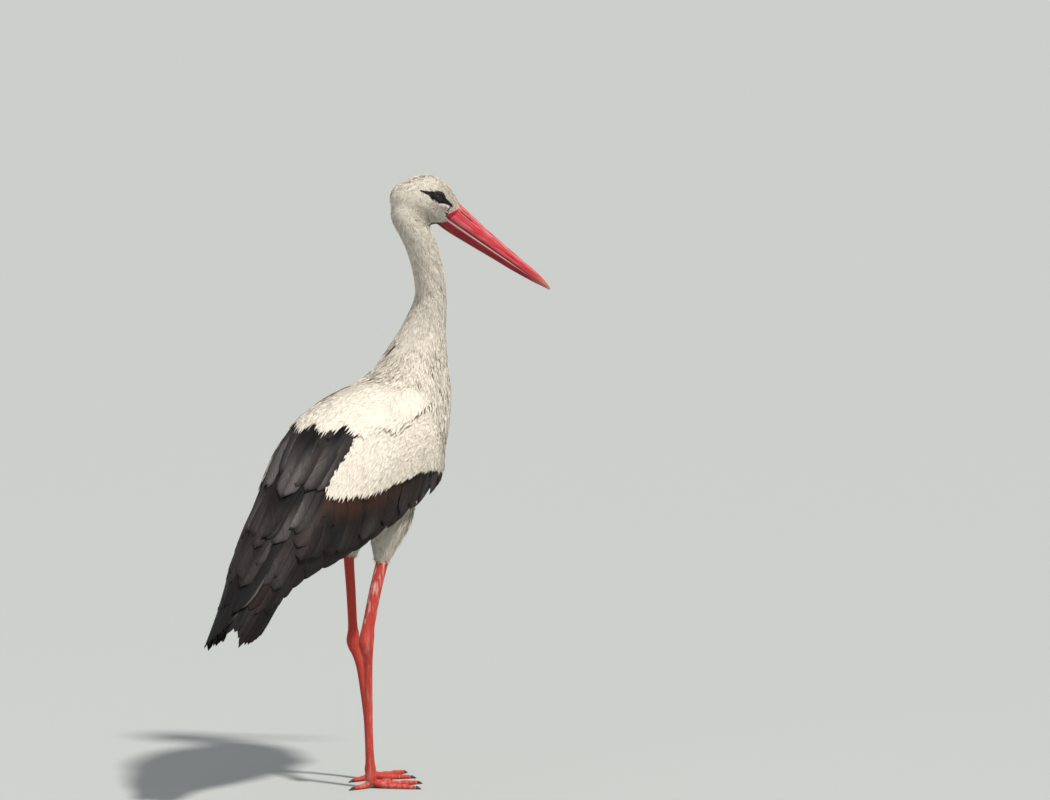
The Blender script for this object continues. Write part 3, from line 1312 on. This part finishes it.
# %% Breast, belly and thighs
thigh_zone = (spots[:, 2] < 405) & (spots[:, 0] > -55) & (spots[:, 0] < 60)
breast_zone = (w["t"] <= 0.62) & (w["out"] > 1.2) & ~thigh_zone & (w["t"] > 0.02)
roots, where = chosen(breast_zone & (w["t"] > 0.36), 26)
over_wing = 3.0 * smooth(-0.01, 0.05, where["s"]) * (where["gap"] < 14) * (where["s"] > 0.001)
beside = (smooth(-0.04, 0.03, where["s"]) * (where["gap"] < 20))[:, None, None]
plumage("plumage_breast", roots, where, (np.interp(where["t"], [0.36, 0.62], [40, 28]), 11),
        strands=8, rows=6, part_at=0.35, root_depth=4, lift=1.6, camber=0.05, loose=0.1,
        contrast=0.52 - 0.24 * beside, gloom=0.32 - 0.14 * beside, locks=0.18,
        offset=over_wing)
roots, where = chosen(breast_zone & (w["t"] <= 0.38), 42)
plumage("plumage_belly", roots, where, (40, 14), strands=8, rows=6, part_at=0.4,
        root_depth=4, lift=1.2, camber=0.05, loose=0.2)
roots, where = chosen(thigh_zone, 14)
plumage("plumage_thighs", roots, where, (np.interp(roots[:, 2], [320, 400], [20, 32]), 7),
        strands=6, rows=6, part_at=0.3, root_depth=2.5, lift=1.6, camber=0.05, loose=0.5,
        shade=0.06, contrast=0.5, ragged=0.3, locks=0.14)

# %% [markdown]
# ## White feathers of the wing
#
# On the folded wing every feather is placed by its tip, because the tips make the borders:
# white coverts end in a ragged fringe over the black, and the long feathers of the cape end
# in soft tongues. Local millimetres become steps of s and r through the shell's own stretch
# at that place.

# %% Laying feathers on the wing shell
def stretch(s, r):
    """Millimetres per unit of s and of r at a place on the shell."""
    s, r = np.clip(s, 0.02, 0.98), np.clip(np.abs(r), 0.02, 1.0)
    along = wing_point(1, s + 0.01, r) - wing_point(1, s - 0.01, r)
    around = wing_point(1, s, r + 0.01) - wing_point(1, s, r - 0.01)
    return np.linalg.norm(along, axis=-1) / 0.02, np.linalg.norm(around, axis=-1) / 0.02


def wing_feathers(name, side, tips, angle, size, strands, rows, part_at, offset=0.0, shade=0.0,
                  contrast=0.2, gloom=0.4, **look):
    """White feathers with their tips at s, r on the shell, pointing angle degrees down from
    straight back."""
    s_tip, r_tip = (v[:, None, None] for v in tips)
    length, width = (np.broadcast_to(v, len(tips[0])) for v in size)
    laid = bundle(len(tips[0]), length, width, strands, rows, part_at, **look)
    turn = np.radians(np.broadcast_to(angle, len(tips[0])) + chance.normal(0, 4, len(tips[0])))
    turn = turn[:, None, None]
    x, y = laid["x"] - length[:, None, None] * 0.97, laid["y"]
    along, around = stretch(s_tip - 0.4 * length[:, None, None] / SHELL_LENGTH, r_tip)
    s = s_tip + (x * np.cos(turn) - y * np.sin(turn)) / along
    r = r_tip + (x * np.sin(turn) + y * np.cos(turn)) / around
    points = wing_point(side, s, r, laid["z"] + np.reshape(offset, (-1, 1, 1)))
    unwrap = np.stack([0.02 + 0.96 * tips[0], 0.02 + 0.96 * np.abs(tips[1])], -1)
    return white_coat(name, points, laid, unwrap, differ=0.10, contrast=contrast,
                      gloom=gloom, fade=1.3, shade=shade)


EVEN_STEPS = 0.7548776662, 0.5698402910  # powers -1 and -2 of 1.3247, the plastic number


def spread(count, *ranges):
    """Places that fill a rectangle of s and r evenly: equal steps of an irrational size,
    wrapped round into each range."""
    n = np.arange(count)
    return [low + (high - low) * ((0.5 + n * even) % 1)
            for (low, high), even in zip(ranges, EVEN_STEPS)]


# %% Coverts and cape
FOLD_EDGE = [[0.0, 0.21], [0.13, 0.265], [0.17, 0.272], [0.256, 0.312], [0.338, 0.318],
             [0.368, 0.335], [0.396, 0.285], [0.46, 0.27]]  # r of the cape's outer edge at s
WITHIN_SHELL = 0.92 * SHELL_LENGTH  # a feather's root stays behind the bend of the wing
for side, word in SIDES:
    s, r = spread(2900, (0.06, 0.556), (0.20, 1.0))
    edge = read_off(COVERT_EDGE, s)
    keep = (r < edge + chance.normal(0, 0.007, len(s))) & (r > read_off(FOLD_EDGE, s) - 0.06) \
        & ((s > 0.095) | (r < 0.4)) \
        & ((s < 0.40) | (r > SCAPULAR_EDGE - 0.02 + 0.05 * (side > 0)))
    s, r = s[keep], r[keep]
    length = np.interp(s, [0.06, 0.16, 0.3, 0.56], [20, 26, 32, 40])
    length = np.minimum(length, s * WITHIN_SHELL)
    wing_feathers(f"coverts_{word}", side, (s, r), 10 + 16 * smooth(0.3, 0.9, r),
                  (length, length * 0.46), strands=9, rows=6, part_at=0.62, root_depth=2.6,
                  lift=1.9, camber=0.09, ragged=0.07, roll=0.2, wander=0.045, cover=0.85,
                  base=0.6, shade=0.05, contrast=0.28, gloom=0.42)
    s, r = spread(2300, (0.06, CAPE_END + 0.01), (-0.005, 0.345))
    keep = (s < cape_border(r) + chance.normal(0, 0.005, len(s))) \
        & (r < read_off(FOLD_EDGE, s) + chance.normal(0, 0.004, len(s)))
    s, r = s[keep], r[keep]
    length = np.interp(s, [0.06, 0.16, 0.3, 0.45], [20, 32, 50, 62])
    length = np.minimum(length, s * WITHIN_SHELL)
    near_fold = smooth(-0.12, -0.015, r - read_off(FOLD_EDGE, s)) * smooth(0.085, 0.15, s) \
        * (1 - smooth(0.33, 0.42, s))
    wing_feathers(f"cape_{word}", side, (s, r), 3 + 20 * near_fold,
                  (length, length * 0.36), strands=9, rows=7, part_at=0.6,
                  offset=0.9 + 6.8 * near_fold, root_depth=3.0, lift=1.2, camber=0.06,
                  ragged=0.07, roll=0.18, wander=0.04, cover=0.88, base=0.5,
                  contrast=0.3 + 0.3 * smooth(0.2, 0.08, s)[:, None, None])

# %% [markdown]
# ## Flight feathers
#
# A flight feather is one firm sheet: a raised shaft, a narrow outer and a broad inner vane,
# and here and there a split where the barbs have come apart. `vanes` makes a whole row of
# them as a grid, rows along and columns across, and `flight_feathers` bends it to the shell.
# Each row starts a little deeper than the one above it, and each feather is tilted, so that
# its edge lies over its neighbour and throws a thin shadow. A Solidify modifier gives every
# sheet a little thickness.

# %% Vanes on a plane
ACROSS = np.array([-1, -0.72, -0.4, -0.07, 0, 0.07, 0.4, 0.72, 1.0])  # close at the shaft
SHEET = 0.00035  # metres


def outline(k, length, width, pointed):
    """Half width along the feather: it opens from the quill, stays nearly even, and closes as
    a rounded end whose length grows with pointed."""
    opens = 0.18 + 0.82 * smooth(0.0, 0.22, k)
    end = np.clip(width * (0.5 + 1.6 * pointed) / length, 0.05, 0.6)
    close = np.clip((k - (1 - end)) / end, 0, 1)
    return width / 2 * opens * (1 - 0.08 * k) * np.sqrt(1 - close ** (2 + pointed) * 0.9999)


def vanes(count, length, width, pointed=0.2, rows=48, splits=1.6, camber=0.17, skew=0.12):
    """A row of feathers flat on a plane: x from root to tip, y across, z the camber and the
    raised shaft. Splits cut thin notches into the outline, slanting as the barbs do."""
    length, width = (np.broadcast_to(np.asarray(v, float), count).reshape(-1, 1, 1)
                     for v in (length, width))
    pointed = np.broadcast_to(pointed, count).reshape(-1, 1, 1)
    k = 1 - (1 - np.linspace(0, 1, rows)[None, :, None]) ** 1.35
    c = ACROSS[None, None, :]
    half = outline(k, length, width, pointed)
    notch = np.zeros((count, rows, len(ACROSS)))
    for _ in range(4):  # splits, each on one side or the other
        place = chance.uniform(0.25, 0.97, (count, 1, 1))
        side = np.sign(chance.uniform(-1, 1, (count, 1, 1)))
        deep = chance.uniform(0.1, 0.5, (count, 1, 1)) \
            * (chance.uniform(0, 4, (count, 1, 1)) < splits)
        slit = near((k - place) * length, 0, 1.8)
        notch = np.maximum(notch, deep * slit * (c * side > 0.5))
    frayed = 1 + chance.normal(0, 0.018, (count, rows, 1)) * (np.abs(c) > 0.9)
    x = k * length - notch * 6 - 0.16 * width * np.abs(c) ** 1.5 * smooth(0, 0.3, k)
    y = half * (c * (1 - notch) * frayed + skew * (1 - c ** 2))
    shaft = 0.55 * near(c, 0, 0.05) * (1.15 - k)
    z = shaft - camber * half * c ** 2 + chance.normal(0, 0.8, (count, 1, 1)) * c * k
    z = z + 0.35 * np.sin(k * 9 + chance.uniform(0, 6, (count, 1, 1))) * c
    full = (count, rows, len(ACROSS))
    return {"x": np.broadcast_to(x, full), "y": y, "z": z,
            "u": np.broadcast_to(0.5 + c / 2, full), "v": np.broadcast_to(k, full)}


def grid_faces(count, rows, columns):
    """Faces of many equal grids, numbered one after another."""
    one = quads(rows, columns)
    return (np.arange(count)[:, None, None] * rows * columns + one).reshape(-1, 4)


# %% Rows of vanes on the shell
def flight_feathers(name, side, table, warm, worn, gloss, rows=48):
    """One joined mesh of black vanes on the shell. Each row of the table is a feather: s and r
    of its tip, degrees down from straight back, length, width, lift at the root and at the
    tip, and how pointed it is. A slight tilt lays each lower edge over the next feather."""
    s_tip, r_tip, turn, length, width, low, high, pointed = (v[:, None, None] for v in table.T)
    laid = vanes(len(table), length.ravel(), width.ravel(), pointed.ravel(), rows)
    turn = np.radians(turn)
    x = laid["x"] - length
    along, around = stretch(s_tip - 0.5 * length / SHELL_LENGTH, r_tip)
    s_shaft = s_tip + x * np.cos(turn) / along
    r_shaft = r_tip + x * np.sin(turn) / around
    along, around = stretch(s_shaft, r_shaft)
    s = s_shaft - laid["y"] * np.sin(turn) / along
    r = r_shaft + laid["y"] * np.cos(turn) / around
    tilt = 0.075 + chance.normal(0, 0.03, (len(table), 1, 1)) * laid["v"]
    lift = low + (high - low) * laid["v"] + laid["z"] + laid["y"] * tilt
    points = wing_point(side, s, r, lift)
    edge = np.abs(2 * laid["u"] - 1)
    age = chance.uniform(0.3, 1.0, (len(table), 1, 1))
    paler = worn * age * smooth(0.8, 1.0, edge) * smooth(0.2, 0.7, laid["v"]) \
        * (1 - smooth(0.9, 0.97, laid["v"]))
    lit_at = chance.uniform(-0.5, 0.4, (len(table), 1, 1))
    bloom = gloss * chance.uniform(0.1, 1, (len(table), 1, 1)) ** 1.4 \
        * near(2 * laid["u"] - 1, lit_at, 0.62) \
        * smooth(0.3, 0.75, laid["v"]) * (1 - 0.7 * smooth(0.88, 1, laid["v"]))
    below = r - read_off(COVERT_EDGE, np.clip(s, 0, 0.55))
    rusty = 0.8 * (1 - smooth(0.04, 0.22, below)) * smooth(0.36, 0.46, s) \
        * (1 - smooth(0.54, 0.6, s)) * (r > SCAPULAR_EDGE)
    warmth = warm + rusty + chance.normal(0, 0.1, (len(table), 1, 1))
    unwrap = 0.02 + 0.96 * np.stack([np.clip(table[:, 0], 0, 1), table[:, 1]], -1) - [0.1, 0]
    piece = coat_piece(name, points, [grid_faces(*laid["x"].shape)], laid, np.abs(unwrap),
                       black_feather, "black_feather", worn=paler, bloom=np.clip(bloom, 0, 1),
                       warm=np.clip(warmth, 0, 1),
                       seed=chance.uniform(0, 1, (len(table), 1, 1)))
    thickness = piece.modifiers.new("thickness", "SOLIDIFY")
    thickness.thickness, thickness.offset = SHEET, 0.0
    return applied(piece)


WOBBLE = np.array([0.020, 0.010, 4.5, 6, 3.5, 0.2, 0.6, 0.06])  # one for each column


def row_of(count, *columns, jitter=1.0):
    """A table for a row of feathers: each column is given by its values from the first feather
    to the last, in even steps, and every feather then wobbles a little by chance."""
    share = np.linspace(0, 1, count)
    table = np.stack([np.interp(share, np.linspace(0, 1, len(v)), v) for v in columns], 1)
    return table + chance.normal(0, 1, table.shape) * (WOBBLE * jitter)


# %% Rows of black feathers
for side, word in SIDES:
    tertials = np.vstack([
        row_of(5, (0.58, 0.54, 0.575, 0.54), (0.005, 0.09, 0.18, 0.262), (-2, 4), (140, 135),
               (40, 36), (0.0, -1.0), (1.6, 1.6, 1.0, -1.4), (0.1, 0.1), jitter=0.6),
        row_of(6, (0.68, 0.635, 0.68, 0.65, 0.69), (0.01, 0.10, 0.19, 0.31), (-3, 8),
               (150, 140), (42, 38), (-1.4, -1.8), (0.6, 0.0), (0.1, 0.1), jitter=0.8),
        row_of(6, (0.82, 0.765, 0.83, 0.75, 0.78), (0.01, 0.13, 0.26, 0.40), (-3, 10),
               (165, 140), (40, 36), (-2.6, -2.8), (-0.6, -1.0), (0.2, 0.2))])
    sheen = np.repeat([2.8, 1.3, 0.5], [5, 6, 6])[:, None, None]  # less from row to row
    flight_feathers(f"tertials_{word}", side, tertials, warm=0.08, worn=0.8, gloss=sheen)
    greater = row_of(14, (0.27, 0.38, 0.50, 0.60, 0.69), (1.06, 1.0, 0.90, 0.80, 0.44),
                     (40, 40, 38, 36, 22), (50, 62, 78, 96, 110), (20, 24, 30, 40, 42),
                     (-2.0, -2.0), (0.2, 0.4), (0.12, 0.12), jitter=0.4)
    flight_feathers(f"greater_coverts_{word}", side, greater[::-1], warm=0.05, worn=0.35,
                    gloss=0.35, rows=36)
    secondaries = row_of(15, (0.30, 0.50, 0.70, 0.87), (1.06, 1.03, 0.98, 0.60),
                         (30, 18, 14, 8), (90, 150, 180), (28, 30, 36), (-3.4, -3.8),
                         (-1.2, -1.8), (0.25, 0.3), jitter=0.5)
    flight_feathers(f"secondaries_{word}", side, secondaries[::-1], warm=0.1, worn=0.45,
                    gloss=0.18)
    inner = row_of(6, (0.90, 0.885, 0.86), (0.06, 0.30, 0.62), (0, 6), (180, 165), (38, 36),
                   (-4.0, -4.2), (-1.8, -2.4), (0.3, 0.3))
    outer = row_of(11, (1, 1), (0.03, 1.0), (0, 9), (240, 200), (26, 24), (-5.5, -6.5),
                   (-2.5, -3.5), (1.3, 1.3), jitter=0.5)
    reach = (0.985, 1.0, 0.96) if side > 0 else (0.95, 0.98, 0.925)  # s of the tips
    outer[:, 0] = np.interp(np.linspace(0.03, 1.0, 11), [0, 0.5, 1], reach) \
        + chance.normal(0, 0.006, 11)
    flight_feathers(f"primaries_{word}", side, np.vstack([inner, outer]), warm=0.03,
                    worn=0.9, gloss=0.08)

# %% [markdown]
# ## The tail
#
# A stork's tail is short, white and almost hidden between the wing tips. Twelve firm white
# feathers, made by the same function as the black ones, are laid in a shallow stack on a
# plane: the middle pair on top and each outer pair a little lower and turned outwards.

# %% Tail feathers
TAIL_FEATHERS = 12
place = np.linspace(-1, 1, TAIL_FEATHERS)
laid = vanes(TAIL_FEATHERS, 132 - 10 * place ** 2, 24, 0.15, rows=30, splits=1.0)
fan = np.radians(2.5 * place)[:, None, None]
x = laid["x"]
sideways = 12 * place[:, None, None] + x * np.sin(fan) + laid["y"] * np.cos(fan)
rise = 3.2 + laid["z"] - 4.0 * np.abs(place[:, None, None]) - 3.0 * laid["v"] ** 2 \
    - 0.010 * sideways ** 2 + 5 * (1 - laid["v"])
points = TAIL_ROOT + (x * np.cos(fan) + 2)[..., None] * unit(TAIL_AHEAD) \
    + rise[..., None] * unit(TAIL_UP) + sideways[..., None] * np.array([0, 1.0, 0])
coat_piece("tail_vanes", points, [grid_faces(*laid["x"].shape)], laid,
           np.stack([0.5 + 0.1 * place, 0 * place + 0.02], -1), white_feather,
           "white_feather", shade=0.22 * (1 - laid["v"]) + 0.05,
           seed=chance.uniform(0, 1, (TAIL_FEATHERS, 1, 1)))

# %% [markdown]
# ## The bill
#
# The bill is horn over bone: two long halves that meet along the cutting edges. Each is half
# an ellipse carried along the bill's line. The upper half has a ridge along its top, a slit
# of a nostril in a shallow groove on each side, and a rim that hangs a little over the lower
# half, which leaves the dark line of the mouth between them.

# %% Both halves of the bill
OUTSIDE = 0.7  # of the way round each half; the rest is the roof inside


def mandible(upper, rows=150, columns=56):
    """Half an ellipse over the cutting edges, closed by a slightly hollow roof on the inside.
    v runs along the bill and u from one edge over the outside to the other edge, then back."""
    v, u = np.meshgrid(np.linspace(0, 1, rows) ** 1.05, np.arange(columns) / columns,
                       indexing="ij")
    row = through(BILL, v)
    a, high, deep, half_width = (row[..., k] for k in range(4))
    outside = u < OUTSIDE
    turn = np.where(outside, u / OUTSIDE, (u - OUTSIDE) / (1 - OUTSIDE)) * np.pi
    up = np.where(outside, np.sin(turn), -0.10 * np.sin(turn))
    across = np.where(outside, np.cos(turn), -np.cos(turn))
    beside = np.abs(np.cos(turn))  # 1 at the cutting edges and 0 on top
    reach = (high if upper else deep) * np.where(outside, 1.0, 0.8)
    slit = near(beside, 0.62, 0.055) * outside * upper * smooth(7, 10.5, a) \
        * (1 - smooth(28, 34, a))
    if upper:
        ridge = near(turn, np.pi / 2, 0.22) * outside
        groove = near(beside, 0.60, 0.14) * outside * smooth(2, 12, a) * (1 - smooth(45, 80, a))
        up = up * (1 + 0.035 * ridge - 0.05 * groove - 0.10 * slit)
        across = across * half_width * (1 - 0.06 * groove - 0.13 * slit)
        rise = up * reach + 0.2
    else:
        keel = near(turn, np.pi / 2, 0.25) * outside
        furrow = near(beside, 0.78, 0.10) * outside * smooth(0, 20, a)
        up = up * (1 + 0.03 * keel)
        across = across * half_width * 0.87 * (1 - 0.05 * furrow)
        rise = -(up * reach + 0.3 + 0.2 * (1 - smooth(60, 165, a)))
    points, faces = capped(in_axes(BILL_ROOT, BILL_PITCH, a, rise, across))
    from_edge = np.minimum(u, np.abs(OUTSIDE - u))
    rim = (1 - smooth(0.002, 0.013, from_edge)) * (u < OUTSIDE + 0.03)
    lip = near(from_edge, 0.038, 0.014) * outside * (not upper) * (1 - 0.8 * smooth(95, 150, a))
    stripes = near(np.abs(np.cos(np.arange(columns))), 0.36, 0.20)  # on uneven columns
    shine = stripes * outside * upper * (1 - smooth(130, 175, a))
    numbers = {"base": with_ends(1 - smooth(-4, 60, a), first=1),
               "tip": with_ends(smooth(140, 178, a), last=1), "rim": with_ends(rim),
               "lip": with_ends(lip), "shine": with_ends(shine), "slit": with_ends(slit)}
    return points, [f[:, ::-1] for f in faces] if upper else faces, numbers


# %% Horn of the bill
BILL_PINK = (0.56, 0.085, 0.10)
BILL_TIP = (0.46, 0.22, 0.15)
BILL_GLINT = (0.88, 0.60, 0.57)


def bill_material(name, upper):
    """Red horn: pinker on top, deep red below, darker in the slit, pale and worn at the tip."""
    material, tree, shader = principled(name, BILL_RED, 0.2, Specular_IOR_Level=0.34)
    here = object_place(tree)
    a, u, l = measured(tree, BILL_ROOT, BILL_PITCH)
    line = tree.nodes.new("ShaderNodeCombineXYZ")
    for socket, value in zip(line.inputs, (product(tree, a, 0.04), u, l)):
        tree.links.new(value, socket)
    fibre = noise(tree, line.outputs[0], 0.6, 4.0)
    cloud = step(tree, placed_group(tree, blotches, Place=here, Size=55.0)["Mask"], 0.4, 1.0)
    tone = blend(tree, product(tree, cloud, 0.7), BILL_RED if upper else BILL_DEEP,
                 BILL_PINK if upper else BILL_RED)
    fibres = step(tree, fibre, 0.42, 0.68)
    tone = blend(tree, product(tree, fibres, 0.4 if upper else 0.15), tone, BILL_PINK)
    glints = product(tree, number(tree, "shine"), step(tree, fibre, 0.36, 0.60), 0.75)
    tone = blend(tree, glints, tone, BILL_GLINT)
    tone = blend(tree, product(tree, number(tree, "base"), 0.35), tone,
                 BILL_PINK if upper else BILL_DEEP)
    tone = blend(tree, product(tree, number(tree, "tip"), 0.65), tone, BILL_TIP)
    tone = blend(tree, product(tree, number(tree, "lip"), 0.9), tone, BILL_GLINT)
    tone = blend(tree, number(tree, "rim"), tone, BILL_LINE)
    tone = blend(tree, step(tree, number(tree, "slit"), 0.15, 0.6), tone, BILL_LINE)
    tree.links.new(tone, shader.inputs["Base Color"])
    bumped(tree, shader, fibre, 0.0003, 0.6)
    return material


for word, upper in (("bill_upper", True), ("bill_lower", False)):
    points, faces, numbers = mandible(upper)
    piece = mesh_of(word + "_horn", points, faces, values=numbers)
    piece.data.materials.append(bill_material("horn_" + word[5:], upper))
    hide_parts(word)
    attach(piece, "root")
    print(piece.name, len(piece.data.polygons), "faces")

# %% [markdown]
# ## Eyes and lids
#
# The eye is a dark brown ball, almost all of it inside the skull. What shows is framed by
# bare black lids: a rounded rim that follows the ball closely and then runs out flat on to
# the face. The ball gets a black pupil, a brown ring and a clear, very smooth surface.

# %% Eyeballs and lids
def eye_frame(side):
    """Centre of the eye, and its outward, forward and upward directions."""
    along, left, up = axes(HEAD_PITCH)
    centre = in_axes(HEAD_ROOT, HEAD_PITCH, EYE_PLACE[0], EYE_PLACE[1], side * EYE_PLACE[2])
    out = unit(side * left + 0.16 * along + 0.05 * up)
    ahead = unit(along - (along @ out) * out)
    return centre, out, ahead, np.cross(out, ahead) * side


def eyeball(side):
    """A ball with its pole outwards; the cornea bulges a little over the iris."""
    centre, out, ahead, up = eye_frame(side)
    share, turn = rings(40, 48)
    polar = 0.02 + (np.pi - 0.04) * share
    radius = EYE_RADIUS + 0.35 * near(polar, 0, 0.45)
    points, faces = capped(centre + radius[..., None] * (
        np.cos(polar)[..., None] * out
        + np.sin(polar)[..., None] * (np.cos(turn)[..., None] * ahead
                                      + np.sin(turn)[..., None] * up * side)))
    pupil = 1 - smooth(0.24, 0.30, polar)
    iris = smooth(0.24, 0.34, polar) * (1 - smooth(0.56, 0.66, polar))
    return points, faces, {"pupil": with_ends(pupil, first=1), "iris": with_ends(iris)}


LID_ROWS, LID_COLUMNS = 15, 64


def lid(side):
    """A rim round the opening: from inside the slit, over a rounded edge, out to the skin.
    Share 0 tucks under against the ball and share 1 lies just under the face's surface."""
    centre, out, ahead, up = eye_frame(side)
    share, turn = rings(LID_ROWS, LID_COLUMNS)
    wide = 4.9 + 0.5 * np.maximum(np.cos(turn - np.pi), 0) ** 2
    tall = 3.9 - 0.5 * np.maximum(np.sin(turn), 0)
    inner = wide * tall / np.hypot(tall * np.cos(turn), wide * np.sin(turn))
    width = inner + share ** 1.3 * 4.2
    ball = np.sqrt(np.maximum(EYE_RADIUS ** 2 - inner ** 2, 0))
    rise = ball + 0.15 + 0.75 * np.sin(np.minimum(share * 2.6, 1) * np.pi / 2) \
        - 2.6 * np.maximum(share - 0.25, 0) ** 1.2
    return centre + rise[..., None] * out + width[..., None] * (
        np.cos(turn)[..., None] * ahead + np.sin(turn)[..., None] * up * side)


# %% Finishes of eyes and lids
IRIS_BROWN = (0.024, 0.010, 0.006)
EYE_DARK = (0.012, 0.008, 0.007)
PUPIL_BLACK = (0.001, 0.001, 0.001)
eye_finish, tree, shader = principled("eye", IRIS_BROWN, 0.08, Coat_Weight=0.3,
                                      Coat_Roughness=0.03, Specular_IOR_Level=0.3)
ring = blend(tree, number(tree, "iris"), EYE_DARK, IRIS_BROWN)
tree.links.new(blend(tree, number(tree, "pupil"), ring, PUPIL_BLACK),
               shader.inputs["Base Color"])
lid_finish, tree, shader = principled("lid", BARE_BLACK, 0.42, Specular_IOR_Level=0.28)
pebbles = placed_group(tree, scales, Place=object_place(tree), Size=1500.0)
bumped(tree, shader, pebbles["Height"], 0.00012, 0.8)
for side, word in SIDES:
    points, faces, numbers = eyeball(side)
    if side > 0:
        faces = [f[:, ::-1] for f in faces]
    ball = mesh_of(f"eyeball_{word}", points, faces, values=numbers)
    ball.data.materials.append(eye_finish)
    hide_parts(f"eye_{word}")
    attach(ball, "root")
    rim = mesh_of(f"eyelid_{word}", lid(side).reshape(-1, 3),
                  [quads(LID_ROWS, LID_COLUMNS, True)[:, ::side]])
    rim.data.materials.append(lid_finish)
    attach(rim, "root")
    print(ball.name, rim.name)

# %% [markdown]
# ## Hand-in measurements
#
# The dressed bird has to keep the solid model's size, so both boxes are written side by side.

# %% Remove the form, write the sizes, finish
bpy.data.objects.remove(form)
